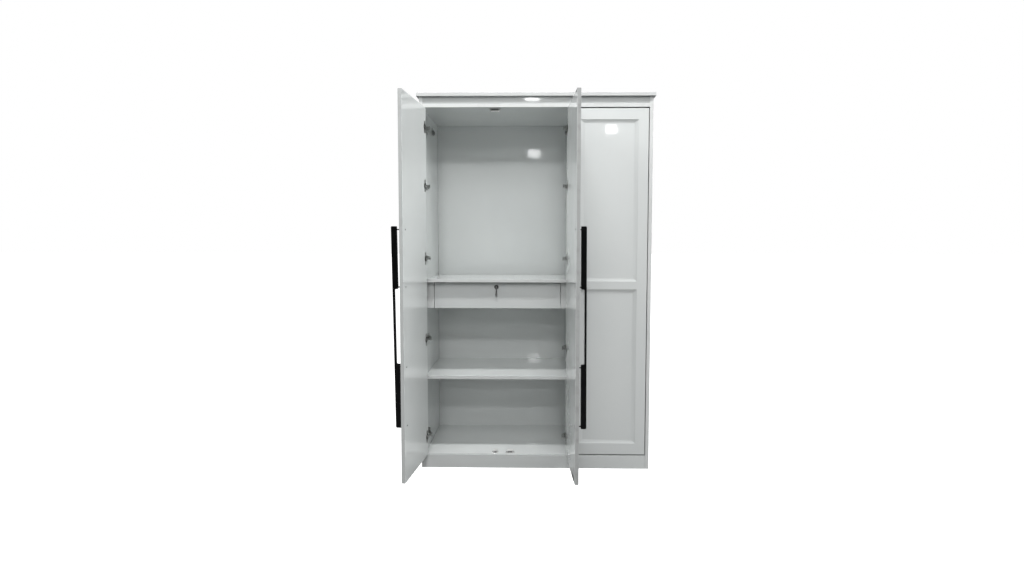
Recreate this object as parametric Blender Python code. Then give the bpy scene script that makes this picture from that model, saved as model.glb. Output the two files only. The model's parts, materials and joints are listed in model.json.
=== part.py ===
"""Three-door wardrobe: a wide bay behind two doors, a narrow bay behind the third.

Metres, +Z up, the front faces -Y. The origin is on the floor under the middle of the carcass.
The left and middle doors are modelled standing open and the right door closed.
"""
import math

import bmesh
import bpy
from mathutils import Matrix, Vector

# ---------------------------------------------------------------- driving dimensions
WIDTH = 1.200
DEPTH = 0.500
HEIGHT = 1.957
BOARD = 0.018
FIT = 0.0003                # gap between pieces that touch
EDGE = 0.0008               # eased edge of an edge-banded board

PLINTH_HEIGHT = 0.071
CEILING = 1.885             # underside of the top panel
TOP_OVERHANG = 0.012
BACK_BOARD = 0.004
BACK_INSET = 0.0107         # from the rear edge to the back board's rear face
SHELF_SETBACK = 0.024

DOOR_COUNT = 3
SIDE_GAP = 0.004
END_GAP = 0.006
PARTITION_SETBACK = 0.0015  # from the closed doors' inner faces to the partition's front edge
LEFT_OPEN = math.radians(96)
MIDDLE_OPEN = math.radians(93)

UPPER_SHELF_TOP = 1.002
LOWER_SHELF_TOP = 0.488
NARROW_SHELF_TOPS = (0.488, 1.002)

DRAWER_SETBACK = 0.056
DRAWER_BOTTOM = 0.8445
DRAWER_TOP = 0.979
DRAWER_REVEAL = 0.003
SPACER = 0.026              # packing board between a wall and the drawer's cheek
DRAWER_DEPTH = 0.400
DRAWER_WALL = 0.012
RUNNER_SPACE = 0.0127

STILE = 0.052
TOP_RAIL = 0.056
BOTTOM_RAIL = 0.060
MID_RAIL = (0.951, 0.993)
# The routed moulding as (inset, depth): a small square step, a straight slope, and a soft run-out.
MOULD_PROFILE = ((0.0003, 0.0012), (0.0015, 0.0016), (0.0170, 0.0074), (0.0200, 0.0080))

HANDLE_BOTTOM = 0.330
HANDLE_TOP = 1.267
GRIP_BOTTOM = 0.630
GRIP_TOP = 0.9785
HANDLE_WIDTH = 0.016
HANDLE_REACH = 0.034        # from the door's face to the front of the bar
HANDLE_STANDOFF = 0.009
HANDLE_POST = 0.0035        # half the height of the posts between bar and door
LEFT_LEAN = 0.014           # the left handle's upper screws are not driven home
MIDDLE_LEAN = -0.004
GRIP_DEPTH = 0.0085
HANDLE_FROM_EDGE = 0.035
HANDLE_SCREW_HEIGHTS = (0.341, 0.616, 0.988, 1.252)

HINGE_HEIGHTS = (0.178, 0.690, 1.111, 1.482, 1.780)
MIDDLE_HINGE_HEIGHTS = (0.172, 0.643, 1.111, 1.484, 1.780)
PIVOT = Vector((-0.0015, -0.0035))      # a door turns about this line, from the opening's front corner
CUP_CENTRE = 0.0245
CUP_RADIUS = 0.0172
CUP_DEPTH = 0.012
ARM_PIN = Vector((0.022, 0.032))
CUP_PIN = Vector((0.0245, 0.0165))
OUTER_LINK = 0.036
OUTER_LINK_CLOSED = math.radians(-2)

FRONT = -DEPTH / 2
REAR = DEPTH / 2
INNER = WIDTH / 2 - BOARD
DOOR_WIDTH = (2 * INNER - BOARD - (2 * DOOR_COUNT - 1) * SIDE_GAP) / DOOR_COUNT
PARTITION = -INNER + 2 * DOOR_WIDTH + 3 * SIDE_GAP
RIGHT_DOOR_WIDTH = INNER - SIDE_GAP - PARTITION     # it closes over the partition's front edge
BACK_FACE = REAR - BACK_INSET - BACK_BOARD
DOOR_BOTTOM = PLINTH_HEIGHT + END_GAP
DOOR_TOP = CEILING - END_GAP
TOP_BOARD_BOTTOM = HEIGHT - BOARD
WIDE_MIDDLE = (PARTITION - INNER) / 2
LOCK_X = WIDE_MIDDLE - 0.005
LOCK_Z = 0.9575


# ---------------------------------------------------------------- materials
def material(name, colour, roughness, metallic=0.0):
    mat = bpy.data.materials.new(name)
    mat.use_nodes = True
    shader = mat.node_tree.nodes["Principled BSDF"]
    shader.inputs["Base Color"].default_value = (*colour, 1.0)
    shader.inputs["Roughness"].default_value = roughness
    shader.inputs["Metallic"].default_value = metallic
    return mat


# ---------------------------------------------------------------- shape helpers
def box(bm, low, high):
    """Adds an axis-aligned box."""
    size = Vector(high) - Vector(low)
    centre = (Vector(high) + Vector(low)) / 2
    placed = Matrix.Translation(centre) @ Matrix.Diagonal((*size, 1.0))
    bmesh.ops.create_cube(bm, size=1.0, matrix=placed)


def prism(bm, outline, low, high, plane="XY"):
    """Extrudes a closed outline in one plane along the remaining axis, from low to high."""
    lift = {"XY": lambda u, v, w: (u, v, w), "XZ": lambda u, v, w: (u, w, v), "YZ": lambda u, v, w: (w, u, v)}
    place = lift[plane]
    bottom = [bm.verts.new(place(u, v, low)) for u, v in outline]
    top = [bm.verts.new(place(u, v, high)) for u, v in outline]
    count = len(outline)
    faces = [bm.faces.new(bottom), bm.faces.new(top)]
    for i in range(count):
        j = (i + 1) % count
        faces.append(bm.faces.new((bottom[i], bottom[j], top[j], top[i])))
    bmesh.ops.recalc_face_normals(bm, faces=faces)


def arc(centre, radius, start, end, steps):
    """Points along an arc, angles in degrees."""
    points = []
    for i in range(steps + 1):
        angle = math.radians(start + (end - start) * i / steps)
        points.append((centre[0] + radius * math.cos(angle), centre[1] + radius * math.sin(angle)))
    return points


def rod(bm, centre, radius, low, high, plane, segments=12):
    """Adds a cylinder whose round section lies in the plane."""
    outline = arc(centre, radius, 0, 360 * (segments - 1) / segments, segments - 1)
    prism(bm, outline, low, high, plane)


def dog_bone(bm, start, end, start_radius, end_radius, low, high):
    """Adds a flat link with round ends between two points of the XY plane."""
    along = math.degrees(math.atan2(end[1] - start[1], end[0] - start[0]))
    outline = arc(start, start_radius, along + 90, along + 270, 5)
    outline += arc(end, end_radius, along - 90, along + 90, 5)
    prism(bm, outline, low, high, "XY")


def mesh_from(build, name="shape"):
    """Runs a function that fills a bmesh, and returns the mesh."""
    bm = bmesh.new()
    build(bm)
    mesh = bpy.data.meshes.new(name)
    bm.to_mesh(mesh)
    bm.free()
    return mesh


def carve(base, tools, operation):
    """Applies one exact Boolean for each tool mesh to the base mesh."""
    body = bpy.data.objects.new("body", base)
    bpy.context.scene.collection.objects.link(body)
    helpers = []
    for tool in tools:
        helper = bpy.data.objects.new("tool", tool)
        bpy.context.scene.collection.objects.link(helper)
        helpers.append(helper)
        step = body.modifiers.new("carve", "BOOLEAN")
        step.operation = operation
        step.solver = "EXACT"
        step.object = helper
    result = bpy.data.meshes.new_from_object(body.evaluated_get(bpy.context.evaluated_depsgraph_get()))
    for helper in helpers + [body]:
        bpy.data.objects.remove(helper)
    return result


def stamp(source, shifts, mirror=False):
    """Copies a mesh to each shift, all in one mesh, optionally mirrored in X."""
    bm = bmesh.new()
    for shift in shifts:
        first_vert = len(bm.verts)
        first_face = len(bm.faces)
        bm.from_mesh(source)
        bm.verts.ensure_lookup_table()
        bm.faces.ensure_lookup_table()
        for vert in bm.verts[first_vert:]:
            if mirror:
                vert.co.x = -vert.co.x
            vert.co += Vector(shift)
        if mirror:
            bmesh.ops.reverse_faces(bm, faces=bm.faces[first_face:])
    mesh = bpy.data.meshes.new("stamped")
    bm.to_mesh(mesh)
    bm.free()
    return mesh


def node(name, mesh, finish, parent=None, smooth=False):
    """Makes the named object of one sub-part. Its mesh is in the parent's coordinates."""
    mesh.name = name
    mesh.materials.clear()
    mesh.materials.append(finish)
    if smooth:
        mesh.shade_smooth()
        mesh.set_sharp_from_angle(angle=math.radians(35))
    piece = bpy.data.objects.new(name, mesh)
    bpy.context.scene.collection.objects.link(piece)
    piece.parent = parent
    return piece


def board(name, low, high, finish, parent=None, edge=EDGE):
    """A panel with slightly eased edges."""
    piece = node(name, mesh_from(lambda bm: box(bm, low, high)), finish, parent)
    ease = piece.modifiers.new("eased_edges", "BEVEL")
    ease.width = edge
    ease.segments = 1
    return piece


def pivot(name, place, turn=0.0, parent=None):
    """An empty on a joint's axis, turned about Z."""
    empty = bpy.data.objects.new(name, None)
    bpy.context.scene.collection.objects.link(empty)
    empty.parent = parent
    empty.location = place
    empty.rotation_euler = (0.0, 0.0, turn)
    return empty


# ---------------------------------------------------------------- carcass
def shelf(name, low_x, high_x, top, finish):
    low = (low_x + FIT, FRONT + SHELF_SETBACK, top - BOARD)
    return board(name, low, (high_x - FIT, BACK_FACE - FIT, top), finish)


def lock_mortise():
    """The pocket in the upper shelf that the drawer lock's cam turns up into."""
    low = (LOCK_X - 0.008, FRONT + DRAWER_SETBACK + BOARD + 0.0035, UPPER_SHELF_TOP - BOARD - 0.010)
    high = (LOCK_X + 0.022, FRONT + DRAWER_SETBACK + BOARD + 0.0095, UPPER_SHELF_TOP - BOARD + 0.010)
    return mesh_from(lambda bm: box(bm, low, high))


def make_carcass(white):
    for name, side in (("side_left", -1), ("side_right", 1)):
        edges = sorted((side * INNER, side * WIDTH / 2))
        board(name, (edges[0], FRONT, 0), (edges[1], REAR, TOP_BOARD_BOTTOM - FIT), white)
    board("partition", (PARTITION, FRONT + BOARD + PARTITION_SETBACK, PLINTH_HEIGHT + FIT),
          (PARTITION + BOARD, BACK_FACE - FIT, CEILING - FIT), white)
    board("bottom_panel", (-INNER + FIT, FRONT + BOARD + FIT, PLINTH_HEIGHT - BOARD),
          (INNER - FIT, BACK_FACE - FIT, PLINTH_HEIGHT), white)
    board("top_panel", (-INNER + FIT, FRONT, CEILING), (INNER - FIT, BACK_FACE - FIT, CEILING + BOARD), white)
    board("fascia_rail", (-INNER + FIT, FRONT + 0.002, CEILING + BOARD + FIT),
          (INNER - FIT, FRONT + 0.002 + BOARD, TOP_BOARD_BOTTOM - FIT), white)
    board("top_board", (-WIDTH / 2 - TOP_OVERHANG, FRONT - TOP_OVERHANG, TOP_BOARD_BOTTOM),
          (WIDTH / 2 + TOP_OVERHANG, REAR, HEIGHT), white)
    board("plinth_board", (-INNER + FIT, FRONT, 0), (INNER - FIT, FRONT + BOARD, PLINTH_HEIGHT), white)
    base_top = PLINTH_HEIGHT - BOARD - FIT
    board("base_rail_rear", (-INNER + FIT, BACK_FACE - BOARD, 0), (INNER - FIT, BACK_FACE - FIT, base_top), white)
    board("base_rail_middle", (-BOARD / 2, FRONT + BOARD + FIT, 0),
          (BOARD / 2, BACK_FACE - BOARD - FIT, base_top), white)
    seam = PARTITION + BOARD / 2
    for name, low_x, high_x in (("back_board_wide", -INNER + FIT, seam - FIT),
                                ("back_board_narrow", seam + FIT, INNER - FIT)):
        board(name, (low_x, BACK_FACE, PLINTH_HEIGHT - BOARD),
              (high_x, BACK_FACE + BACK_BOARD, CEILING + BOARD), white, edge=0.0004)
    upper = mesh_from(lambda bm: box(bm, (-INNER + FIT, FRONT + SHELF_SETBACK, UPPER_SHELF_TOP - BOARD),
                                     (PARTITION - FIT, BACK_FACE - FIT, UPPER_SHELF_TOP)))
    node("shelf_upper", carve(upper, [lock_mortise()], "DIFFERENCE"), white)
    shelf("shelf_lower", -INNER, PARTITION, LOWER_SHELF_TOP, white)


def make_narrow_shelves(white):
    """Loose shelves of the narrow bay."""
    low_x = PARTITION + BOARD
    for number, top in enumerate(NARROW_SHELF_TOPS, start=1):
        shelf(f"narrow_shelf_{number}", low_x + 0.001, INNER - 0.001, top, white)


def make_rail_sockets(metal):
    """Open-topped cups on both walls of the wide bay, for a hanging rail."""
    depth = 0.290
    height = 1.810
    thickness = 0.0025
    rim = 0.010

    def plate(bm):
        outline = arc((0, 0), 0.017, 180, 360, 8) + arc((0, 0.026), 0.006, 0, 180, 4)
        prism(bm, outline, 0, thickness, "YZ")

    def cup(bm):
        outline = [(0.0145, 0.012)] + arc((0, 0), 0.0145, 0, -180, 10) + [(-0.0145, 0.012)]
        outline += [(-0.0120, 0.012)] + arc((0, 0), 0.0120, 180, 360, 10) + [(0.0120, 0.012)]
        prism(bm, outline, thickness / 2, thickness + rim, "YZ")

    socket = carve(mesh_from(plate), [mesh_from(cup)], "UNION")
    for name, x, mirror in (("rail_socket_left", -INNER + FIT, False), ("rail_socket_right", PARTITION - FIT, True)):
        node(name, stamp(socket, [(x, FRONT + depth, height)], mirror), metal, smooth=True)


# ---------------------------------------------------------------- drawer
def runner_section(reach, half_height, thickness):
    """A channel's section: x from the web, z up, open towards +x."""
    return ((0, -half_height), (reach, -half_height), (reach, -half_height + thickness),
            (thickness, -half_height + thickness), (thickness, half_height - thickness),
            (reach, half_height - thickness), (reach, half_height), (0, half_height))


def make_drawer_housing(white):
    cheek_low = DRAWER_BOTTOM
    cheek_high = UPPER_SHELF_TOP - BOARD - FIT
    front = FRONT + DRAWER_SETBACK
    back = front + DRAWER_DEPTH + 0.020
    for side, wall, direction in (("left", -INNER, 1), ("right", PARTITION, -1)):
        spacer = sorted((wall + direction * FIT, wall + direction * (SPACER - FIT)))
        cheek = sorted((wall + direction * SPACER, wall + direction * (SPACER + BOARD)))
        board(f"drawer_spacer_{side}", (spacer[0], front, cheek_low), (spacer[1], back, cheek_high), white)
        board(f"drawer_cheek_{side}", (cheek[0], front, cheek_low), (cheek[1], back, cheek_high), white)


def make_drawer(white, steel, travel):
    """The drawer box and the two members of each runner."""
    cheek = INNER - SPACER - BOARD
    inner_low = -cheek
    inner_high = PARTITION - SPACER - BOARD
    front = FRONT + DRAWER_SETBACK
    face = front + BOARD
    front_mesh = mesh_from(lambda bm: box(bm, (inner_low + DRAWER_REVEAL, front, DRAWER_BOTTOM),
                                          (inner_high - DRAWER_REVEAL, face, DRAWER_TOP)))
    lock_hole = mesh_from(lambda bm: rod(bm, (LOCK_X, LOCK_Z), 0.0096, front - 0.01, face + 0.01, "XZ", 20))
    node("drawer_front", carve(front_mesh, [lock_hole], "DIFFERENCE"), white, travel)
    low_x = inner_low + RUNNER_SPACE
    high_x = inner_high - RUNNER_SPACE
    back = face + DRAWER_DEPTH - BOARD
    low_z = DRAWER_BOTTOM + 0.014
    high_z = DRAWER_TOP - 0.030
    wall = DRAWER_WALL
    board("drawer_side_left", (low_x, face + FIT, low_z), (low_x + wall, back, high_z), white, travel)
    board("drawer_side_right", (high_x - wall, face + FIT, low_z), (high_x, back, high_z), white, travel)
    board("drawer_back", (low_x + wall + FIT, back - wall, low_z), (high_x - wall - FIT, back, high_z), white, travel)
    board("drawer_bottom", (low_x + wall + FIT, face + FIT, low_z),
          (high_x - wall - FIT, back - wall - FIT, low_z + 0.004), white, travel, edge=0.0004)

    middle_z = (low_z + high_z) / 2
    start = face + 0.004
    end = back - 0.006
    cabinet = mesh_from(lambda bm: prism(bm, runner_section(0.0106, 0.0200, 0.0012), start, end, "XZ"))
    sliding = mesh_from(lambda bm: prism(bm, runner_section(0.0090, 0.0165, 0.0012), start, end, "XZ"))
    offset = RUNNER_SPACE - FIT
    for side, cheek_x, away in (("left", inner_low, 1), ("right", inner_high, -1)):
        fixed_place = [(cheek_x + away * FIT, 0, middle_z)]
        moving_place = [(cheek_x + away * offset, 0, middle_z)]
        node(f"runner_cabinet_{side}", stamp(cabinet, fixed_place, away < 0), steel)
        node(f"runner_drawer_{side}", stamp(sliding, moving_place, away > 0), steel, travel)


def make_lock(chrome, dark, travel):
    """A turning cam lock through the drawer front, with its folded key."""
    front = FRONT + DRAWER_SETBACK
    back = front + BOARD
    centre = (LOCK_X, LOCK_Z)

    def shell(bm):
        rod(bm, centre, 0.0120, front - 0.0025, front - FIT, "XZ", 20)

    def barrel(bm):
        rod(bm, centre, 0.0092, front - 0.0015, back + 0.0030, "XZ", 20)

    def bore(bm):
        rod(bm, centre, 0.0066, front - 0.01, back + 0.02, "XZ", 16)

    case = carve(mesh_from(shell), [mesh_from(barrel)], "UNION")
    case = carve(case, [mesh_from(bore)], "DIFFERENCE")
    node("lock_case", case, chrome, travel, smooth=True)

    turning = pivot("lock_turn", (LOCK_X, front, LOCK_Z), parent=travel)
    plug_back = BOARD + 0.0045

    def plug(bm):
        rod(bm, (0, 0), 0.0062, -0.0030, plug_back - FIT, "XZ", 16)

    def keyway(bm):
        box(bm, (-0.0014, -0.02, -0.0040), (0.0014, 0.0130, 0.0040))

    plug_mesh = carve(mesh_from(plug), [mesh_from(keyway)], "DIFFERENCE")
    node("lock_cylinder", plug_mesh, chrome, turning, smooth=True)

    cam_tip = UPPER_SHELF_TOP - BOARD + 0.007 - LOCK_Z

    def cam(bm):
        outline = arc((0, 0), 0.0065, 90, 270, 6) + [(cam_tip, -0.0050), (cam_tip, 0.0050)]
        prism(bm, outline, plug_back, plug_back + 0.0022, "XZ")

    node("lock_cam", mesh_from(cam), dark, turning, smooth=True)

    def blade(bm):
        box(bm, (-0.0010, -0.0075, -0.0036), (0.0010, 0.0120, 0.0036))

    def collar(bm):
        rod(bm, (0, 0), 0.0045, -0.0095, -0.0036, "XZ", 12)

    def bow(bm):
        outline = [(-0.0035, 0.003), (-0.0035, -0.030)]
        outline += arc((0, -0.041), 0.0065, 140, 400, 12) + [(0.0035, -0.030), (0.0035, 0.003)]
        prism(bm, outline, -0.0125, -0.0085, "XZ")

    def ring_hole(bm):
        rod(bm, (0, -0.042), 0.0028, -0.03, 0.0, "XZ", 10)

    key = carve(mesh_from(blade), [mesh_from(collar), mesh_from(bow)], "UNION")
    key = carve(key, [mesh_from(ring_hole)], "DIFFERENCE")
    node("drawer_key", key, dark, turning, smooth=True)


# ---------------------------------------------------------------- magnetic catches
def make_catches(plastic):
    """Magnet housings behind the doors: one under the top panel, two on the bottom panel."""
    front = FRONT + BOARD + 0.004
    floor = PLINTH_HEIGHT + FIT
    roof = CEILING - FIT
    tall = 0.013
    deep = 0.028
    thin = 0.0035
    places = (("catch_top", WIDE_MIDDLE - 0.010, 0.021, 0.030, roof, -1),
              ("catch_bottom_left", WIDE_MIDDLE - 0.011, 0.010, 0.018, floor, 1),
              ("catch_bottom_middle", WIDE_MIDDLE + 0.068, 0.014, 0.025, floor, 1))
    for name, centre, half, ear, surface, up in places:
        housing_z = sorted((surface, surface + up * tall))
        ear_z = sorted((surface, surface + up * thin))
        housing = mesh_from(lambda bm: box(bm, (centre - half, front, housing_z[0]),
                                           (centre + half, front + deep, housing_z[1])))
        ears = mesh_from(lambda bm: box(bm, (centre - ear, front + 0.007, ear_z[0]),
                                        (centre + ear, front + 0.021, ear_z[1])))
        node(name, carve(housing, [ears], "UNION"), plastic)


# ---------------------------------------------------------------- doors
def door_slab(width):
    """A door lying in its closed place: x from its hinge edge, y from its outer to its inner face."""
    def build(bm):
        columns = (0.0, STILE, width - STILE, width)
        rows = (DOOR_BOTTOM, DOOR_BOTTOM + BOTTOM_RAIL, MID_RAIL[0], MID_RAIL[1], DOOR_TOP - TOP_RAIL, DOOR_TOP)
        face = [[bm.verts.new((x, 0.0, z)) for z in rows] for x in columns]
        recesses = ((1, 1), (1, 3))
        for i in range(len(columns) - 1):
            for j in range(len(rows) - 1):
                if (i, j) not in recesses:
                    bm.faces.new((face[i][j], face[i + 1][j], face[i + 1][j + 1], face[i][j + 1]))
        for i, j in recesses:
            ring = [face[i][j], face[i + 1][j], face[i + 1][j + 1], face[i][j + 1]]
            corners = [vert.co.copy() for vert in ring]
            centre = sum(corners, Vector()) / 4
            for inset, depth in MOULD_PROFILE:
                inner = []
                for corner in corners:
                    across = math.copysign(inset, centre.x - corner.x)
                    rise = math.copysign(inset, centre.z - corner.z)
                    inner.append(bm.verts.new(corner + Vector((across, depth, rise))))
                for k in range(4):
                    bm.faces.new((ring[k], ring[(k + 1) % 4], inner[(k + 1) % 4], inner[k]))
                ring = inner
            bm.faces.new(ring)
        border = [face[i][0] for i in range(4)] + [face[3][j] for j in range(1, 6)]
        border += [face[i][5] for i in (2, 1, 0)] + [face[0][j] for j in (4, 3, 2, 1)]
        back = [bm.verts.new(vert.co + Vector((0, BOARD, 0))) for vert in border]
        count = len(border)
        for k in range(count):
            bm.faces.new((border[(k + 1) % count], border[k], back[k], back[(k + 1) % count]))
        bm.faces.new(list(reversed(back)))
        bmesh.ops.recalc_face_normals(bm, faces=bm.faces)
    return build


def door_holes(width, hinge_heights):
    """Cutters for the hinge cups and the handle screws, in the door's closed place."""
    def build(bm):
        for z in hinge_heights:
            rod(bm, (CUP_CENTRE - SIDE_GAP, z), CUP_RADIUS + FIT, BOARD - CUP_DEPTH, BOARD + 0.01, "XZ", 20)
        for z in HANDLE_SCREW_HEIGHTS:
            rod(bm, (width - HANDLE_FROM_EDGE, z), 0.0023, -0.01, BOARD + 0.01, "XZ", 8)
    return build


def handle_shape(width, lean):
    """A long bar: two deep pads joined by a slim grip, standing off the door on four posts.

    A leaning bar stands further off at its top, or at its bottom where lean is negative.
    """
    near = -HANDLE_STANDOFF
    far = -HANDLE_REACH
    grip = far + GRIP_DEPTH
    round_off = 0.005
    outline = []

    def add_post(z):
        low, high = z - HANDLE_POST, z + HANDLE_POST
        outline.extend(((near, low), (-FIT, low), (-FIT, high), (near, high)))

    outline += arc((far + round_off, HANDLE_BOTTOM + round_off), round_off, 180, 270, 3)
    outline += arc((near - 0.002, HANDLE_BOTTOM + 0.002), 0.002, 270, 360, 2)
    add_post(HANDLE_SCREW_HEIGHTS[0])
    add_post(HANDLE_SCREW_HEIGHTS[1])
    outline += arc((near - round_off, GRIP_BOTTOM - round_off), round_off, 0, 90, 4)
    outline += arc((grip + round_off, GRIP_BOTTOM + round_off), round_off, 270, 180, 4)
    outline += arc((grip + round_off, GRIP_TOP - round_off), round_off, 180, 90, 4)
    outline += arc((near - round_off, GRIP_TOP + round_off), round_off, 270, 360, 4)
    add_post(HANDLE_SCREW_HEIGHTS[2])
    add_post(HANDLE_SCREW_HEIGHTS[3])
    outline += arc((near - 0.002, HANDLE_TOP - 0.002), 0.002, 0, 90, 2)
    outline += arc((far + round_off, HANDLE_TOP - round_off), round_off, 90, 180, 3)
    leaning = []
    for y, z in outline:
        share = (z - HANDLE_BOTTOM) / (HANDLE_TOP - HANDLE_BOTTOM)
        off = lean * share if lean > 0 else -lean * (1 - share)
        leaning.append((y - off if y < near / 2 else y, z))
    centre = width - HANDLE_FROM_EDGE

    def build(bm):
        prism(bm, leaning, centre - HANDLE_WIDTH / 2, centre + HANDLE_WIDTH / 2, "YZ")

    return build


def handle_bores(width):
    def build(bm):
        for z in HANDLE_SCREW_HEIGHTS:
            rod(bm, (width - HANDLE_FROM_EDGE, z), 0.0023, -0.0195, 0.01, "XZ", 8)
    return build


def strike_shape(centre, length):
    """A thin steel plate on the inner face that a magnet pulls on, near the door's bottom edge."""
    def build(bm):
        low_z = DOOR_BOTTOM + 0.004
        box(bm, (centre - length / 2, BOARD + FIT, low_z), (centre + length / 2, BOARD + 0.0013, low_z + 0.014))
    return build


# ---------------------------------------------------------------- hinges
# One hinge is drawn about the opening's front corner: x into the opening, y into the cabinet, z up.
def hinge_cup():
    face = BOARD + FIT

    def bucket(bm):
        rod(bm, (CUP_CENTRE, 0), CUP_RADIUS, BOARD - CUP_DEPTH + FIT, face + 0.0006, "XZ", 20)

    def flange(bm):
        prism(bm, [(CUP_CENTRE - 0.0095, -0.0290), (CUP_CENTRE - 0.0065, -0.0320), (CUP_CENTRE + 0.0065, -0.0320),
                   (CUP_CENTRE + 0.0095, -0.0290), (CUP_CENTRE + 0.0095, 0.0290), (CUP_CENTRE + 0.0065, 0.0320),
                   (CUP_CENTRE - 0.0065, 0.0320), (CUP_CENTRE - 0.0095, 0.0290)], face, face + 0.0012, "XZ")

    def screw_heads(bm):
        for z in (-0.0250, 0.0250):
            rod(bm, (CUP_CENTRE, z), 0.0038, face + 0.0006, face + 0.0024, "XZ", 10)

    def cavity(bm):
        rod(bm, (CUP_CENTRE, 0), CUP_RADIUS - 0.0012, BOARD - CUP_DEPTH + 0.0013, face + 0.01, "XZ", 20)

    def pin(bm):
        rod(bm, CUP_PIN, 0.0015, -CUP_RADIUS + 0.0006, CUP_RADIUS - 0.0006, "XY", 8)

    shell = carve(mesh_from(bucket), [mesh_from(flange), mesh_from(screw_heads)], "UNION")
    return carve(carve(shell, [mesh_from(cavity)], "DIFFERENCE"), [mesh_from(pin)], "UNION")


def hinge_arm():
    """The cranked arm: a broad body over the mounting plate and a narrow nose that carries the outer link."""
    def body(bm):
        prism(bm, [(0.0095, 0.048), (0.0135, 0.046), (0.0135, 0.098), (0.0095, 0.098)], -0.0110, 0.0110, "XY")

    def nose(bm):
        outline = arc(ARM_PIN, 0.0042, -120, 30, 6)
        outline += [(0.0200, 0.0430), (0.0130, 0.0540), (0.0100, 0.0540), (0.0110, 0.0430)]
        prism(bm, outline, -0.0058, 0.0058, "XY")

    def bore(bm):
        rod(bm, ARM_PIN, 0.0019, -0.01, 0.01, "XY", 8)

    def screw(bm):
        for y in (0.062, 0.084):
            rod(bm, (y, 0), 0.0032, 0.0125, 0.0152, "YZ", 10)

    arm = carve(mesh_from(body), [mesh_from(nose), mesh_from(screw)], "UNION")
    return carve(arm, [mesh_from(bore)], "DIFFERENCE")


def hinge_plate():
    """The mounting plate on the carcass: two wings and a raised saddle under the arm."""
    def wings(bm):
        outline = [(0.058, -0.030), (0.070, -0.030), (0.074, -0.010), (0.094, -0.010), (0.094, 0.010),
                   (0.074, 0.010), (0.070, 0.030), (0.058, 0.030), (0.054, 0.010), (0.050, 0.010),
                   (0.050, -0.010), (0.054, -0.010)]
        prism(bm, outline, FIT, 0.0020, "YZ")

    def saddle(bm):
        box(bm, (0.0015, 0.052, -0.0100), (0.0092, 0.092, 0.0100))

    def screw_heads(bm):
        for z in (-0.0230, 0.0230):
            rod(bm, (0.064, z), 0.0040, 0.0015, 0.0036, "YZ", 10)

    return carve(mesh_from(wings), [mesh_from(saddle), mesh_from(screw_heads)], "UNION")


def turned(point, angle):
    """A closed-door point once the door has opened by the angle about its pivot."""
    x, y = Vector(point[:2]) - PIVOT
    return PIVOT + Vector((x * math.cos(angle) + y * math.sin(angle), y * math.cos(angle) - x * math.sin(angle)))


def circle_meeting(first, first_radius, second, second_radius):
    """The point at both radii that lies to the left of the way from first to second."""
    gap = second - first
    distance = gap.length
    along = (first_radius ** 2 + distance ** 2 - second_radius ** 2) / (2 * distance)
    off = math.sqrt(first_radius ** 2 - along ** 2)
    unit = gap / distance
    return first + unit * along + Vector((-unit.y, unit.x)) * off


def direction(start, end):
    return math.atan2(end.y - start.y, end.x - start.x)


ELBOW_CLOSED = ARM_PIN + OUTER_LINK * Vector((math.cos(OUTER_LINK_CLOSED), math.sin(OUTER_LINK_CLOSED)))
INNER_LINK = (ELBOW_CLOSED - CUP_PIN).length
INNER_LINK_CLOSED = direction(CUP_PIN, ELBOW_CLOSED)


def link_angles(opening):
    """Directions of the outer link, and of the inner link as seen from the door, at an opening."""
    cup = turned(CUP_PIN, opening)
    elbow = circle_meeting(ARM_PIN, OUTER_LINK, cup, INNER_LINK)
    return direction(ARM_PIN, elbow), direction(cup, elbow) + opening


def outer_link():
    """Two cheeks on a pin, drawn along +X from the pin."""
    tip = (OUTER_LINK, 0)

    def lower(bm):
        dog_bone(bm, (0, 0), tip, 0.0040, 0.0030, -0.0090, -0.0072)

    def upper(bm):
        dog_bone(bm, (0, 0), tip, 0.0040, 0.0030, 0.0072, 0.0090)

    def pin(bm):
        rod(bm, (0, 0), 0.0015, -0.0098, 0.0098, "XY", 8)

    return carve(mesh_from(pin), [mesh_from(lower), mesh_from(upper)], "UNION")


def inner_link():
    """One tongue with an eye, drawn along +X from the eye."""
    def tongue(bm):
        dog_bone(bm, (0, 0), (INNER_LINK, 0), 0.0033, 0.0025, -0.0055, 0.0055)

    def eye(bm):
        rod(bm, (0, 0), 0.0019, -0.01, 0.01, "XY", 8)

    return carve(mesh_from(tongue), [mesh_from(eye)], "DIFFERENCE")


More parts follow.
